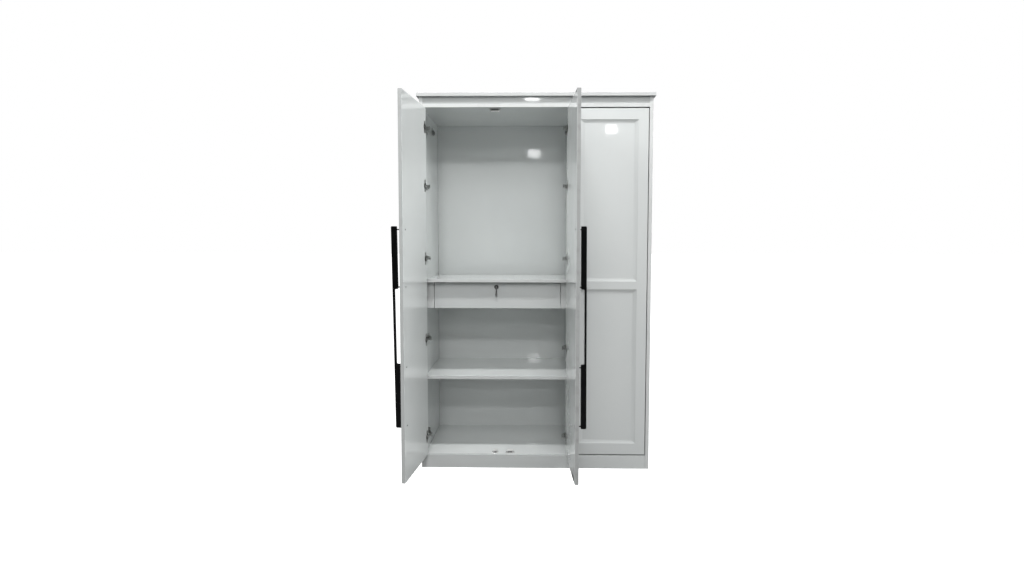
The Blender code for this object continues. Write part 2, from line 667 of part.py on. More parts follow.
def make_door(label, corner, direction_sign, opening, width, lean, hinge_heights, finishes):
    """One door with everything that turns with it, and its hinge links.

    corner is the x of the opening's corner, direction_sign is +1 where the opening lies to the right.
    """
    white, black, steel = finishes
    mirror = direction_sign < 0
    turn = -direction_sign * opening
    pivot_x = corner + direction_sign * PIVOT.x
    swing = pivot(f"{label}_swing", (pivot_x, FRONT + PIVOT.y, 0), turn)
    hinge_edge = SIDE_GAP - PIVOT.x
    shift = (direction_sign * hinge_edge, -PIVOT.y, 0)

    def placed(mesh):
        return stamp(mesh, [shift], mirror)

    slab = carve(mesh_from(door_slab(width)), [mesh_from(door_holes(width, hinge_heights))], "DIFFERENCE")
    panel = node(f"{label}_panel", placed(slab), white, swing)
    ease = panel.modifiers.new("eased_edges", "BEVEL")
    ease.width = EDGE
    ease.segments = 1
    ease.limit_method = "ANGLE"
    ease.angle_limit = math.radians(80)
    grip = carve(mesh_from(handle_shape(width, lean)), [mesh_from(handle_bores(width))], "DIFFERENCE")
    node(f"{label}_handle", placed(grip), black, swing)
    if label == "door_middle":
        node("door_middle_strike", placed(mesh_from(strike_shape(width - 0.070, 0.072))), steel, swing)

    height = hinge_heights[-1]
    cup_place = [(-direction_sign * PIVOT.x, -PIVOT.y, height)]
    node(f"{label}_hinge_cup", stamp(hinge_cup(), cup_place, mirror), steel, swing, smooth=True)
    for name, source in (("arm", hinge_arm()), ("plate", hinge_plate())):
        fixed = stamp(source, [(corner, FRONT, height)], mirror)
        node(f"{label}_hinge_{name}", fixed, steel, smooth=True)

    outer_angle, inner_angle = link_angles(opening)
    outer_place = (corner + direction_sign * ARM_PIN.x, FRONT + ARM_PIN.y, height)
    outer_pivot = pivot(f"{label}_outer_link_pin", outer_place, direction_sign * outer_angle)
    outer = stamp(outer_link(), [(0, 0, 0)], mirror)
    node(f"{label}_hinge_outer_link", outer, steel, outer_pivot, smooth=True)
    inner_place = (direction_sign * (CUP_PIN.x - PIVOT.x), CUP_PIN.y - PIVOT.y, height)
    inner_pivot = pivot(f"{label}_inner_link_pin", inner_place, direction_sign * inner_angle, swing)
    inner = stamp(inner_link(), [(0, 0, 0)], mirror)
    node(f"{label}_hinge_inner_link", inner, steel, inner_pivot, smooth=True)


def main():
    for old in list(bpy.data.objects):
        bpy.data.objects.remove(old)
    white = material("white_lacquer", (0.84, 0.86, 0.86), 0.14)
    black = material("black_anodised", (0.012, 0.012, 0.013), 0.38, 0.2)
    steel = material("nickel_steel", (0.42, 0.42, 0.41), 0.30, 1.0)
    chrome = material("chrome", (0.62, 0.62, 0.62), 0.12, 1.0)
    plastic = material("grey_plastic", (0.70, 0.70, 0.69), 0.45)

    make_carcass(white)
    make_narrow_shelves(white)
    make_rail_sockets(steel)
    make_drawer_housing(white)
    travel = bpy.data.objects.new("drawer_travel", None)
    bpy.context.scene.collection.objects.link(travel)
    make_drawer(white, steel, travel)
    make_lock(chrome, steel, travel)
    make_catches(plastic)

    finishes = (white, black, steel)
    make_door("door_left", -INNER, 1, LEFT_OPEN, DOOR_WIDTH, LEFT_LEAN, HINGE_HEIGHTS, finishes)
    make_door("door_middle", PARTITION, -1, MIDDLE_OPEN, DOOR_WIDTH, MIDDLE_LEAN, MIDDLE_HINGE_HEIGHTS, finishes)
    make_door("door_right", INNER, -1, 0.0, RIGHT_DOOR_WIDTH, 0.0, HINGE_HEIGHTS, finishes)


main()
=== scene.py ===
import json
import math

import bmesh
import bpy
from mathutils import Matrix, Vector


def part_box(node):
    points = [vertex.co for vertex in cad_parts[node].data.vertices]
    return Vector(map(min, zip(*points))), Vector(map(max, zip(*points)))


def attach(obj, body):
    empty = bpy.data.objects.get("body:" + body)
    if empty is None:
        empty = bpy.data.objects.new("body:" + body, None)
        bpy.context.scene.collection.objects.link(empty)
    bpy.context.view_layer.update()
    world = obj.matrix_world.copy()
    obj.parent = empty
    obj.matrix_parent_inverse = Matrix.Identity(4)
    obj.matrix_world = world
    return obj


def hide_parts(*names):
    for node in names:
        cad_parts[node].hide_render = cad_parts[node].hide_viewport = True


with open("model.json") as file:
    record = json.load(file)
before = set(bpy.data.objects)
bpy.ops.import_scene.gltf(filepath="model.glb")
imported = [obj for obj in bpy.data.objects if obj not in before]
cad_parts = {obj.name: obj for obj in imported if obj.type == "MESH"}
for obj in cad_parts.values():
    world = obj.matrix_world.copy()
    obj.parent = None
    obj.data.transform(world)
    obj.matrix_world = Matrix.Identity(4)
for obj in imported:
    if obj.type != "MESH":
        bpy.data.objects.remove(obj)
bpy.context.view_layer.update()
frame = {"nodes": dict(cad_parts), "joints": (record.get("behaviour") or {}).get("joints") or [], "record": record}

print("frame loaded")

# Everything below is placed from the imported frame: the boxes of its nodes and the places of its joints.
joints = {joint["name"]: joint for joint in frame["joints"]}
openings = {space["name"]: space["box_m"] for space in frame["record"]["physics"]["openings"]}
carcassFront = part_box("side_left")[0].y
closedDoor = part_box("door_right_panel")
boardThickness = closedDoor[1].y - closedDoor[0].y
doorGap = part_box("side_right")[0].x - closedDoor[1].x
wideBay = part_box("partition")[0].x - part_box("side_left")[1].x
doorWidths = {"door_left": (wideBay - 3 * doorGap) / 2, "door_middle": (wideBay - 3 * doorGap) / 2,
              "door_right": closedDoor[1].x - closedDoor[0].x}
fit = 0.0003  # the gap that touching pieces keep
through = 0.01  # how far a cutter passes the piece that it cuts


# The camera, the sky, the lamps and the floor.
viewSettings = {
    "place": (-0.0256, -3.1813, 1.1899),
    "turnLeft": 0.88,
    "lookDown": 3.26,
    "roll": 0.08,
    "lens": 19.85,
    "shift": (-0.0095, -0.0123),
}

lampSettings = {
    "lamps": (
        # name, place, size, power, what it is aimed at, what it lights
        ("overheadLamp", (0.0, -1.85, 5.5), (2.6, 0.35), 200.0, (0.0, -0.25, 1.0), "all"),
        ("highSoftbox", (0.0, -4.2, 4.3), (3.2, 1.6), 72.0, (0.0, -0.25, 1.2), "diffuse"),
        ("frontLamp", (0.0, -8.3, 5.5), (2.6, 0.45), 135.0, (0.0, -0.25, 1.0), "diffuse"),
        ("farLamp", (0.0, -13.7, 5.5), (2.6, 0.45), 105.0, (0.0, -0.25, 1.0), "diffuse"),
        ("lowSoftbox", (0.0, -6.5, 1.6), (3.0, 1.5), 12.0, (0.0, -0.25, 1.2), "diffuse"),
        ("leftLamp", (-4.0, -1.8, 4.5), (2.0, 2.0), 150.0, (0.0, -0.25, 1.0), "diffuse"),
        ("rightLamp", (4.0, -1.8, 4.5), (2.0, 2.0), 175.0, (0.0, -0.25, 1.0), "diffuse"),
        ("fasciaGlint", (0.02, -14.65, 5.56), (0.42, 0.17), 7.0, (0.0, -0.25, 1.92), "glossy"),
        ("doorGlint", (3.03, -19.15, 5.5), (0.36, 0.25), 9.5, (0.37, -0.25, 1.8), "glossy"),
        ("backGlint", (0.16, -25.25, 5.73), (0.65, 0.40), 13.0, (0.0, 0.24, 1.7), "glossy"),
    ),
    "skyColour": (0.96, 0.98, 1.0),
    "skyLight": 0.04,
    "skySeen": 1.0,
}


def addCamera(settings):
    data = bpy.data.cameras.new("camera")
    data.sensor_width = 36.0
    data.lens = settings["lens"]
    data.shift_x, data.shift_y = settings["shift"]
    camera = bpy.data.objects.new("camera", data)
    camera.location = settings["place"]
    upright = Matrix.Rotation(math.radians(settings["turnLeft"]), 4, "Z")
    tilted = Matrix.Rotation(math.radians(90 - settings["lookDown"]), 4, "X")
    rolled = Matrix.Rotation(math.radians(settings["roll"]), 4, "Z")
    camera.rotation_euler = (upright @ tilted @ rolled).to_euler()
    bpy.context.scene.collection.objects.link(camera)
    bpy.context.scene.camera = camera


def addLamp(name, place, size, power, target, lights):
    data = bpy.data.lights.new(name, "AREA")
    data.shape = "RECTANGLE"
    data.size, data.size_y = size
    data.energy = power
    lamp = bpy.data.objects.new(name, data)
    lamp.location = place
    lamp.rotation_euler = (Vector(target) - Vector(place)).to_track_quat("-Z", "Y").to_euler()
    lamp.visible_diffuse = lights != "glossy"
    lamp.visible_glossy = lights != "diffuse"
    bpy.context.scene.collection.objects.link(lamp)


def addSky(settings):
    # What lights the room is dimmer than the white that the camera sees.
    world = bpy.data.worlds.new("studio")
    bpy.context.scene.world = world
    world.use_nodes = True
    nodes, links = world.node_tree.nodes, world.node_tree.links
    nodes.clear()
    output = nodes.new("ShaderNodeOutputWorld")
    mix = nodes.new("ShaderNodeMixShader")
    path = nodes.new("ShaderNodeLightPath")
    lit = nodes.new("ShaderNodeBackground")
    seen = nodes.new("ShaderNodeBackground")
    lit.inputs["Color"].default_value = (*settings["skyColour"], 1.0)
    lit.inputs["Strength"].default_value = settings["skyLight"]
    seen.inputs["Color"].default_value = (1.0, 1.0, 1.0, 1.0)
    seen.inputs["Strength"].default_value = settings["skySeen"]
    links.new(path.outputs["Is Camera Ray"], mix.inputs["Fac"])
    links.new(lit.outputs[0], mix.inputs[1])
    links.new(seen.outputs[0], mix.inputs[2])
    links.new(mix.outputs[0], output.inputs["Surface"])


# Finishes, each a shader built from noises in the piece's own coordinates.
def startFinish(name):
    finish = bpy.data.materials.new(name)
    finish.use_nodes = True
    shader = finish.node_tree.nodes["Principled BSDF"]
    coords = finish.node_tree.nodes.new("ShaderNodeTexCoord")
    return finish, shader, coords.outputs["Object"]


def addNoise(finish, coords, scale, detail=2.0, stretch=None):
    nodes, links = finish.node_tree.nodes, finish.node_tree.links
    noise = nodes.new("ShaderNodeTexNoise")
    noise.inputs["Scale"].default_value = scale
    noise.inputs["Detail"].default_value = detail
    if stretch is not None:
        mapping = nodes.new("ShaderNodeMapping")
        mapping.inputs["Scale"].default_value = stretch
        links.new(coords, mapping.inputs["Vector"])
        coords = mapping.outputs["Vector"]
    links.new(coords, noise.inputs["Vector"])
    return noise.outputs["Fac"]


def addRange(finish, value, low, high, fromLow=0.3, fromHigh=0.7):
    node = finish.node_tree.nodes.new("ShaderNodeMapRange")
    node.inputs["From Min"].default_value = fromLow
    node.inputs["From Max"].default_value = fromHigh
    node.inputs["To Min"].default_value = low
    node.inputs["To Max"].default_value = high
    finish.node_tree.links.new(value, node.inputs["Value"])
    return node.outputs["Result"]


def addBlend(finish, factor, first, second):
    node = finish.node_tree.nodes.new("ShaderNodeMix")
    node.data_type = "RGBA"
    finish.node_tree.links.new(factor, node.inputs[0])
    for socket, colour in ((node.inputs[6], first), (node.inputs[7], second)):
        if isinstance(colour, tuple):
            socket.default_value = (*colour, 1.0)
        else:
            finish.node_tree.links.new(colour, socket)
    return node.outputs[2]


def addBump(finish, height, distance, normal=None):
    node = finish.node_tree.nodes.new("ShaderNodeBump")
    node.inputs["Strength"].default_value = 1.0
    node.inputs["Distance"].default_value = distance
    finish.node_tree.links.new(height, node.inputs["Height"])
    if normal is not None:
        finish.node_tree.links.new(normal, node.inputs["Normal"])
    return node.outputs["Normal"]


lacquerSettings = {
    "colour": (0.725, 0.748, 0.740),
    "shade": (0.700, 0.725, 0.720),
    "roughness": (0.16, 0.24),
    "coat": 0.8,
    "coatRoughness": 0.035,
    "clouds": (3.0, 3.0),
    "sheen": (7.0, 4.0),
    "peelSize": 0.004,
    "peelDepth": 0.0000035,
    "waveSize": 0.16,
    "waveDepth": 0.00001,
}


def lacquerFinish(name, settings, paintedShadeFactor=1.0):
    # Sprayed gloss lacquer: an even white with faint clouds, orange peel and a slight wave in the board.
    finish, shader, coords = startFinish(name)
    links = finish.node_tree.links
    clouds = addRange(finish, addNoise(finish, coords, *settings["clouds"]), 0.0, 1.0)
    # A shade factor below one darkens both colours: painted shade on the copies used for shaded parts.
    colour, shade = (tuple(channel * paintedShadeFactor for channel in settings[key]) for key in ("colour", "shade"))
    tone = addBlend(finish, clouds, colour, shade)
    links.new(tone, shader.inputs["Base Color"])
    low, high = settings["roughness"]
    sheen = addNoise(finish, coords, *settings["sheen"])
    links.new(addRange(finish, sheen, low, high), shader.inputs["Roughness"])
    wave = addBump(finish, addNoise(finish, coords, 1 / settings["waveSize"], 1.0), settings["waveDepth"])
    grain = addNoise(finish, coords, 1 / settings["peelSize"], 1.0)
    peel = addBump(finish, grain, settings["peelDepth"], wave)
    links.new(peel, shader.inputs["Normal"])
    links.new(peel, shader.inputs["Coat Normal"])
    shader.inputs["Coat Weight"].default_value = settings["coat"]
    shader.inputs["Coat Roughness"].default_value = settings["coatRoughness"]
    return finish


# The other surfaces mix two colours by one noise, range their roughness over a second and take a fine relief
# from a third. A noise is its scale, its detail and, where it is drawn out, its stretch.
bandSurface = {
    # Satin plastic edging, pressed on: a fine stipple and a trace of handling dirt.
    "mottle": (22.0, 5.0), "shows": (0.52, 0.78), "sheen": (40.0, 3.0), "roughness": (0.30, 0.42),
    "relief": (900.0, 1.0), "depth": 0.00001,
}
paperSurface = {
    # The unseen rear of the thin back boards: pale paper over fibreboard, with its fibres just showing.
    "mottle": (120.0, 6.0, (1.0, 1.0, 0.35)), "shows": (0.3, 0.7), "sheen": (120.0, 6.0, (1.0, 1.0, 0.35)),
    "roughness": (0.55, 0.72), "depth": 0.00006,
}
blackSurface = {
    # Satin black coating on aluminium: fine grain along the bar, thinner and greyer where hands rub it.
    "mottle": (18.0, 4.0), "shows": (0.45, 0.75), "sheen": (500.0, 2.0, (1.0, 1.0, 0.06)),
    "roughness": (0.34, 0.48), "relief": (500.0, 2.0, (1.0, 1.0, 0.06)), "depth": 0.000012,
    "shader": {"Specular IOR Level": 0.16},
}
coatedSurface = {
    # Epoxy-coated runners.
    "mottle": (25.0, 3.0), "shows": (0.3, 0.7), "sheen": (25.0, 3.0), "roughness": (0.26, 0.36),
    "relief": (700.0, 1.0), "depth": 0.00001,
}
plasticSurface = {
    # Moulded plastic with a light spark-eroded texture.
    "mottle": (90.0, 3.0), "shows": (0.3, 0.7), "sheen": (90.0, 3.0), "roughness": (0.38, 0.50),
    "relief": (1600.0, 2.0), "depth": 0.00002,
}


def platedSurface(roughness, grainSize):
    # Plated pressed steel: clouded plating, drawing marks and darker stains.
    grain = (1 / grainSize, 3.0, (1.0, 0.25, 1.0))
    return {
        "mottle": (160.0, 4.0), "shows": (0.40, 0.72), "sheen": grain, "roughness": roughness,
        "relief": grain, "depth": 0.00001, "shader": {"Metallic": 1.0},
    }


def mottledFinish(name, colour, second, surface):
    finish, shader, coords = startFinish(name)
    links = finish.node_tree.links
    mottle = addRange(finish, addNoise(finish, coords, *surface["mottle"]), 0.0, 1.0, *surface["shows"])
    links.new(addBlend(finish, mottle, colour, second), shader.inputs["Base Color"])
    sheen = addNoise(finish, coords, *surface["sheen"])
    links.new(addRange(finish, sheen, *surface["roughness"]), shader.inputs["Roughness"])
    relief = addNoise(finish, coords, *surface["relief"]) if "relief" in surface else mottle
    links.new(addBump(finish, relief, surface["depth"]), shader.inputs["Normal"])
    for socket, value in surface.get("shader", {}).items():
        shader.inputs[socket].default_value = value
    return finish


# The basic shapes, and what is done to them.
def addBox(bm, low, high):
    size = Vector(high) - Vector(low)
    centre = (Vector(high) + Vector(low)) / 2
    bmesh.ops.create_cube(bm, size=1.0, matrix=Matrix.Translation(centre) @ Matrix.Diagonal((*size, 1.0)))


def arcPoints(centre, radius, start, end, steps):
    # Angles in degrees.
    turns = [math.radians(start + (end - start) * i / steps) for i in range(steps + 1)]
    return [(centre[0] + radius * math.cos(a), centre[1] + radius * math.sin(a)) for a in turns]


def onPlane(plane, u, v, w):
    return {"XY": (u, v, w), "XZ": (u, w, v), "YZ": (w, u, v)}[plane]


def addLathe(bm, profile, centre, plane="XY", segments=32):
    # Turns (radius, along) points about the axis that stands on the plane; the ends close at radius 0.
    rings = []
    for radius, along in profile:
        count = 1 if radius == 0 else segments
        ring = []
        for i in range(count):
            a = 2 * math.pi * i / segments
            u, v = centre[0] + radius * math.cos(a), centre[1] + radius * math.sin(a)
            ring.append(bm.verts.new(onPlane(plane, u, v, along)))
        rings.append(ring)
    for first, second in zip(rings, rings[1:]):
        for i in range(segments):
            j = (i + 1) % segments
            corners = [first[i % len(first)], first[j % len(first)]]
            corners += [second[j % len(second)], second[i % len(second)]]
            bm.faces.new(list(dict.fromkeys(corners)))


def meshOf(build):
    bm = bmesh.new()
    build(bm)
    bmesh.ops.recalc_face_normals(bm, faces=bm.faces)
    mesh = bpy.data.meshes.new("shape")
    bm.to_mesh(mesh)
    bm.free()
    return mesh


def boxMesh(low, high):
    return meshOf(lambda bm: addBox(bm, low, high))


def prismMesh(outline, low, high, plane="XY"):
    # An outline drawn in one plane, extruded along the remaining axis.
    def build(bm):
        bottom = [bm.verts.new(onPlane(plane, u, v, low)) for u, v in outline]
        top = [bm.verts.new(onPlane(plane, u, v, high)) for u, v in outline]
        bm.faces.new(bottom)
        bm.faces.new(top)
        for i in range(len(outline)):
            j = (i + 1) % len(outline)
            bm.faces.new((bottom[i], bottom[j], top[j], top[i]))

    return meshOf(build)


def rodMesh(centre, radius, low, high, plane="XY", segments=24, ease=0.0):
    # A round bar, with slightly eased ends where ease is given.
    ease = min(ease, radius / 2)
    wall = [(radius, low), (radius, high)]
    if ease > 0:
        wall = [(radius - ease, low), (radius, low + ease), (radius, high - ease), (radius - ease, high)]
    return meshOf(lambda bm: addLathe(bm, [(0, low), *wall, (0, high)], centre, plane, segments))


def temporaryObject(mesh):
    body = bpy.data.objects.new("temporary", mesh)
    bpy.context.scene.collection.objects.link(body)
    return body


def bakedMesh(body):
    return bpy.data.meshes.new_from_object(body.evaluated_get(bpy.context.evaluated_depsgraph_get()))


def eased(mesh, width, segments=2, angle=40):
    # Rounds every edge sharper than the angle.
    body = temporaryObject(mesh)
    step = body.modifiers.new("ease", "BEVEL")
    step.width = width
    step.segments = segments
    step.limit_method = "ANGLE"
    step.angle_limit = math.radians(angle)
    result = bakedMesh(body)
    bpy.data.objects.remove(body)
    return result


def weighted(mesh):
    # Large flat faces keep their own normals; only the narrow rounded edges blend.
    body = temporaryObject(mesh)
    step = body.modifiers.new("weight", "WEIGHTED_NORMAL")
    step.keep_sharp = True
    result = bakedMesh(body)
    bpy.data.objects.remove(body)
    return result


def carved(mesh, tools, operation="DIFFERENCE"):
    body = temporaryObject(mesh)
    helpers = [temporaryObject(tool) for tool in tools]
    for helper in helpers:
        step = body.modifiers.new("carve", "BOOLEAN")
        step.operation = operation
        step.solver = "EXACT"
        step.object = helper
    result = bakedMesh(body)
    for helper in helpers + [body]:
        bpy.data.objects.remove(helper)
    return result


def joined(meshes, places=None):
    # Several meshes in one; places holds a matrix for each.
    bm = bmesh.new()
    for index, mesh in enumerate(meshes):
        copy = mesh.copy()
        if places is not None:
            copy.transform(places[index])
        bm.from_mesh(copy)
        bpy.data.meshes.remove(copy)
    result = bpy.data.meshes.new("joined")
    bm.to_mesh(result)
    bm.free()
    return result


def withScrews(mesh, screw, places):
    # The mesh with the same screw laid at every place.
    return joined([mesh] + [screw] * len(places), [Matrix.Identity(4)] + places)


def placed(mesh, matrix):
    # A mirrored place turns a mesh inside out, so its faces are turned back.
    mesh.transform(matrix)
    if matrix.determinant() < 0:
        mesh.flip_normals()
    return mesh


def titleOf(node):
    first, *rest = node.split("_")
    return first + "".join(word.capitalize() for word in rest)


def finishPiece(name, mesh, finishes, body, stands=(), sharp=32):
    for finish in finishes:
        mesh.materials.append(finish)
    mesh.shade_smooth()
    mesh.set_sharp_from_angle(angle=math.radians(sharp))
    mesh = weighted(mesh)
    mesh.name = name
    piece = bpy.data.objects.new(name, mesh)
    bpy.context.scene.collection.objects.link(piece)
    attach(piece, body)
    if stands:
        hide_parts(*stands)


floorSettings = {
    "colour": (0.20, 0.201, 0.202),
    "cloudShade": 0.985,
    "clouds": (1.5, 2.0),
    "roughness": 0.6,
    "glow": 1.3,
    "reach": 60.0,
}


def addFloor(settings):
    # Pale paint that looks as bright far off as it does under the lamps.
    mesh = meshOf(lambda bm: bmesh.ops.create_grid(bm, x_segments=1, y_segments=1, size=settings["reach"]))
    finish, shader, coords = startFinish("floorPaint")
    nodes, links = finish.node_tree.nodes, finish.node_tree.links
    clouds = addRange(finish, addNoise(finish, coords, *settings["clouds"]), 0.0, 1.0)
    colour = settings["colour"]
    dimmer = tuple(channel * settings["cloudShade"] for channel in colour)
    links.new(addBlend(finish, clouds, colour, dimmer), shader.inputs["Base Color"])
    shader.inputs["Roughness"].default_value = settings["roughness"]
    path = nodes.new("ShaderNodeLightPath")
    strength = nodes.new("ShaderNodeMath")
    strength.operation = "MULTIPLY"
    strength.inputs[1].default_value = settings["glow"]
    links.new(path.outputs["Is Camera Ray"], strength.inputs[0])
    links.new(strength.outputs[0], shader.inputs["Emission Strength"])
    shader.inputs["Emission Color"].default_value = (1.0, 1.0, 1.0, 1.0)
    mesh.materials.append(finish)
    floor = bpy.data.objects.new("floor", mesh)
    bpy.context.scene.collection.objects.link(floor)


# Two Geometry Nodes trees: one sets an item on every point, the other along the rim of a panel.
def addInputs(tree, inputs):
    tree.interface.new_socket(name="Geometry", in_out="OUTPUT", socket_type="NodeSocketGeometry")
    for label, kind in inputs:
        tree.interface.new_socket(name=label, in_out="INPUT", socket_type=kind)


def finishTree(tree, instances, entry):
    # The copies become real mesh, take the finish and leave the tree.
    nodes, links = tree.nodes, tree.links
    realize = nodes.new("GeometryNodeRealizeInstances")
    dress = nodes.new("GeometryNodeSetMaterial")
    output = nodes.new("NodeGroupOutput")
    links.new(instances, realize.inputs["Geometry"])
    links.new(realize.outputs["Geometry"], dress.inputs["Geometry"])
    links.new(entry.outputs["Finish"], dress.inputs["Material"])
    links.new(dress.outputs["Geometry"], output.inputs["Geometry"])


def addInstances(tree, entry, points):
    # The item on each point, turned, then spun by a seeded random angle about its own axis.
    nodes, links = tree.nodes, tree.links
    item = nodes.new("GeometryNodeObjectInfo")
    place = nodes.new("GeometryNodeInstanceOnPoints")
    euler = nodes.new("FunctionNodeEulerToRotation")
    spin = nodes.new("FunctionNodeRandomValue")
    axis = nodes.new("ShaderNodeCombineXYZ")
    rotate = nodes.new("GeometryNodeRotateInstances")
    item.inputs["As Instance"].default_value = True
    links.new(entry.outputs["Item"], item.inputs["Object"])
    links.new(points, place.inputs["Points"])
    links.new(item.outputs["Geometry"], place.inputs["Instance"])
    links.new(entry.outputs["Turn"], euler.inputs["Euler"])
    links.new(euler.outputs["Rotation"], place.inputs["Rotation"])
    spin.data_type = "FLOAT"
    numbers = [socket for socket in spin.inputs if socket.name in ("Min", "Max") and socket.type == "VALUE"]
    numbers[0].default_value = 0.0
    links.new(entry.outputs["Spin"], numbers[1])
    links.new(entry.outputs["Seed"], spin.inputs["Seed"])
    value = [socket for socket in spin.outputs if socket.type == "VALUE"][0]
    links.new(value, axis.inputs["Z"])
    links.new(place.outputs["Instances"], rotate.inputs["Instances"])
    links.new(axis.outputs["Vector"], rotate.inputs["Rotation"])
    return rotate.outputs["Instances"]


def makePointTree():
    tree = bpy.data.node_groups.new("itemOnEachPoint", "GeometryNodeTree")
    addInputs(tree, (
        ("Geometry", "NodeSocketGeometry"), ("Item", "NodeSocketObject"), ("Finish", "NodeSocketMaterial"),
        ("Turn", "NodeSocketVector"), ("Spin", "NodeSocketFloat"), ("Seed", "NodeSocketInt"),
    ))
    entry = tree.nodes.new("NodeGroupInput")
    finishTree(tree, addInstances(tree, entry, entry.outputs["Geometry"]), entry)
    return tree


def makeRimTree():
    tree = bpy.data.node_groups.new("itemAlongRim", "GeometryNodeTree")
    addInputs(tree, (
        ("Geometry", "NodeSocketGeometry"), ("Width", "NodeSocketFloat"), ("Height", "NodeSocketFloat"),
        ("Spacing", "NodeSocketFloat"), ("Centre", "NodeSocketVector"), ("Item", "NodeSocketObject"),
        ("Finish", "NodeSocketMaterial"), ("Turn", "NodeSocketVector"), ("Spin", "NodeSocketFloat"),
        ("Seed", "NodeSocketInt"),
    ))
    nodes, links = tree.nodes, tree.links
    entry = nodes.new("NodeGroupInput")
    rim = nodes.new("GeometryNodeCurvePrimitiveQuadrilateral")
    upright = nodes.new("GeometryNodeTransform")
    steps = nodes.new("GeometryNodeCurveToPoints")
    links.new(entry.outputs["Width"], rim.inputs["Width"])
    links.new(entry.outputs["Height"], rim.inputs["Height"])
    upright.inputs["Rotation"].default_value = (math.pi / 2, 0.0, 0.0)
    links.new(entry.outputs["Centre"], upright.inputs["Translation"])
    links.new(rim.outputs["Curve"], upright.inputs["Geometry"])
    steps.mode = "LENGTH"
    links.new(upright.outputs["Geometry"], steps.inputs["Curve"])
    links.new(entry.outputs["Spacing"], steps.inputs["Length"])
    finishTree(tree, addInstances(tree, entry, steps.outputs["Points"]), entry)
    return tree


def grownPiece(name, tree, shape, spots, values, body, stands=()):
    # Runs a tree on the spots with a shape as its item, and keeps the result as a plain steel piece.
    item = temporaryObject(shape)
    item.hide_render = True
    points = bpy.data.meshes.new("points")
    points.from_pydata([tuple(spot) for spot in spots], [], [])
    seedObject = temporaryObject(points)
    step = seedObject.modifiers.new("grow", "NODES")
    step.node_group = tree
    entries = [entry for entry in tree.interface.items_tree if entry.item_type == "SOCKET"]
    sockets = {entry.name: entry.identifier for entry in entries if entry.in_out == "INPUT"}
    step[sockets["Item"]] = item
    for label, value in values.items():
        step[sockets[label]] = value
    mesh = bakedMesh(seedObject)
    bpy.data.objects.remove(seedObject)
    bpy.data.objects.remove(item)
    finishPiece(name, mesh, (), body, stands)


pointTree = makePointTree()
rimTree = makeRimTree()


# The rim is a share of the head's height, and the recess's arms are shares of its radius.
screwSettings = {
    "rim": 0.35,
    "domeAngles": (0.35, 0.7, 1.05, 1.35),
    "recess": 0.0009,
    "arm": 0.55,
    "armHalf": 0.13,
}


def crossScrew(radius, height, recess=screwSettings["recess"]):
    # A domed head lying on the XY plane, with a cross recess.
    rim = height * screwSettings["rim"]
    turns = screwSettings["domeAngles"]
    dome = [(radius * math.cos(a), rim + (height - rim) * math.sin(a)) for a in turns]
    outline = [(0, 0), (radius, 0), (radius, rim), *dome, (0, height)]
    head = meshOf(lambda bm: addLathe(bm, outline, (0, 0), "XY", 20))
    length, width = radius * screwSettings["arm"], radius * screwSettings["armHalf"]
    bars = ((length, width), (width, length))
    return carved(head, [boxMesh((-x, -y, height - recess), (x, y, height + through)) for x, y in bars])


boardSettings = {
    "edgeRadius": 0.0009,
    "topEdgeRadius": 0.0012,
    "thinEdgeRadius": 0.0003,
    "segments": 3,
    "carcassBand": ((0, -1, 0),),
    "topBand": ((0, -1, 0), (1, 0, 0), (-1, 0, 0)),
    "mortiseRoom": (0.0010, 0.0005),
    "lockHole": 0.0096,
}


def boardMesh(low, high, radius, segments, bandSides):
    # A panel with rounded edges. Faces that look towards a band side take the second finish.
    def build(bm):
        addBox(bm, low, high)
        bmesh.ops.bevel(bm, geom=bm.edges[:], offset=radius, segments=segments, profile=0.5, affect="EDGES",
                        clamp_overlap=True)
        bm.normal_update()
        for face in bm.faces:
            if any(face.normal.dot(Vector(side)) > 0.75 for side in bandSides):
                face.material_index = 1

    return meshOf(build)


def makeBoard(node, finishes, body, bandSides, radius=boardSettings["edgeRadius"], tools=()):
    low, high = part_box(node)
    mesh = boardMesh(low, high, radius, boardSettings["segments"], bandSides)
    if tools:
        mesh = carved(mesh, tools)
    finishPiece(titleOf(node), mesh, finishes, body, (node,))


doorSettings = {
    "stile": 0.052,
    "topRail": 0.056,
    "bottomRail": 0.060,
    "midRail": (0.951, 0.993),
    # the routed moulding as (inset, depth): a small square step, a straight slope, and a soft run-out
    "mould": (
        (0.0003, 0.0008), (0.0006, 0.0013), (0.0015, 0.0016),
        (0.0165, 0.0072), (0.0182, 0.0077), (0.0200, 0.0080),
    ),
    "edgeRadius": 0.0014,
    "bandReach": 0.003,
    "bandSlack": 0.0001,
}


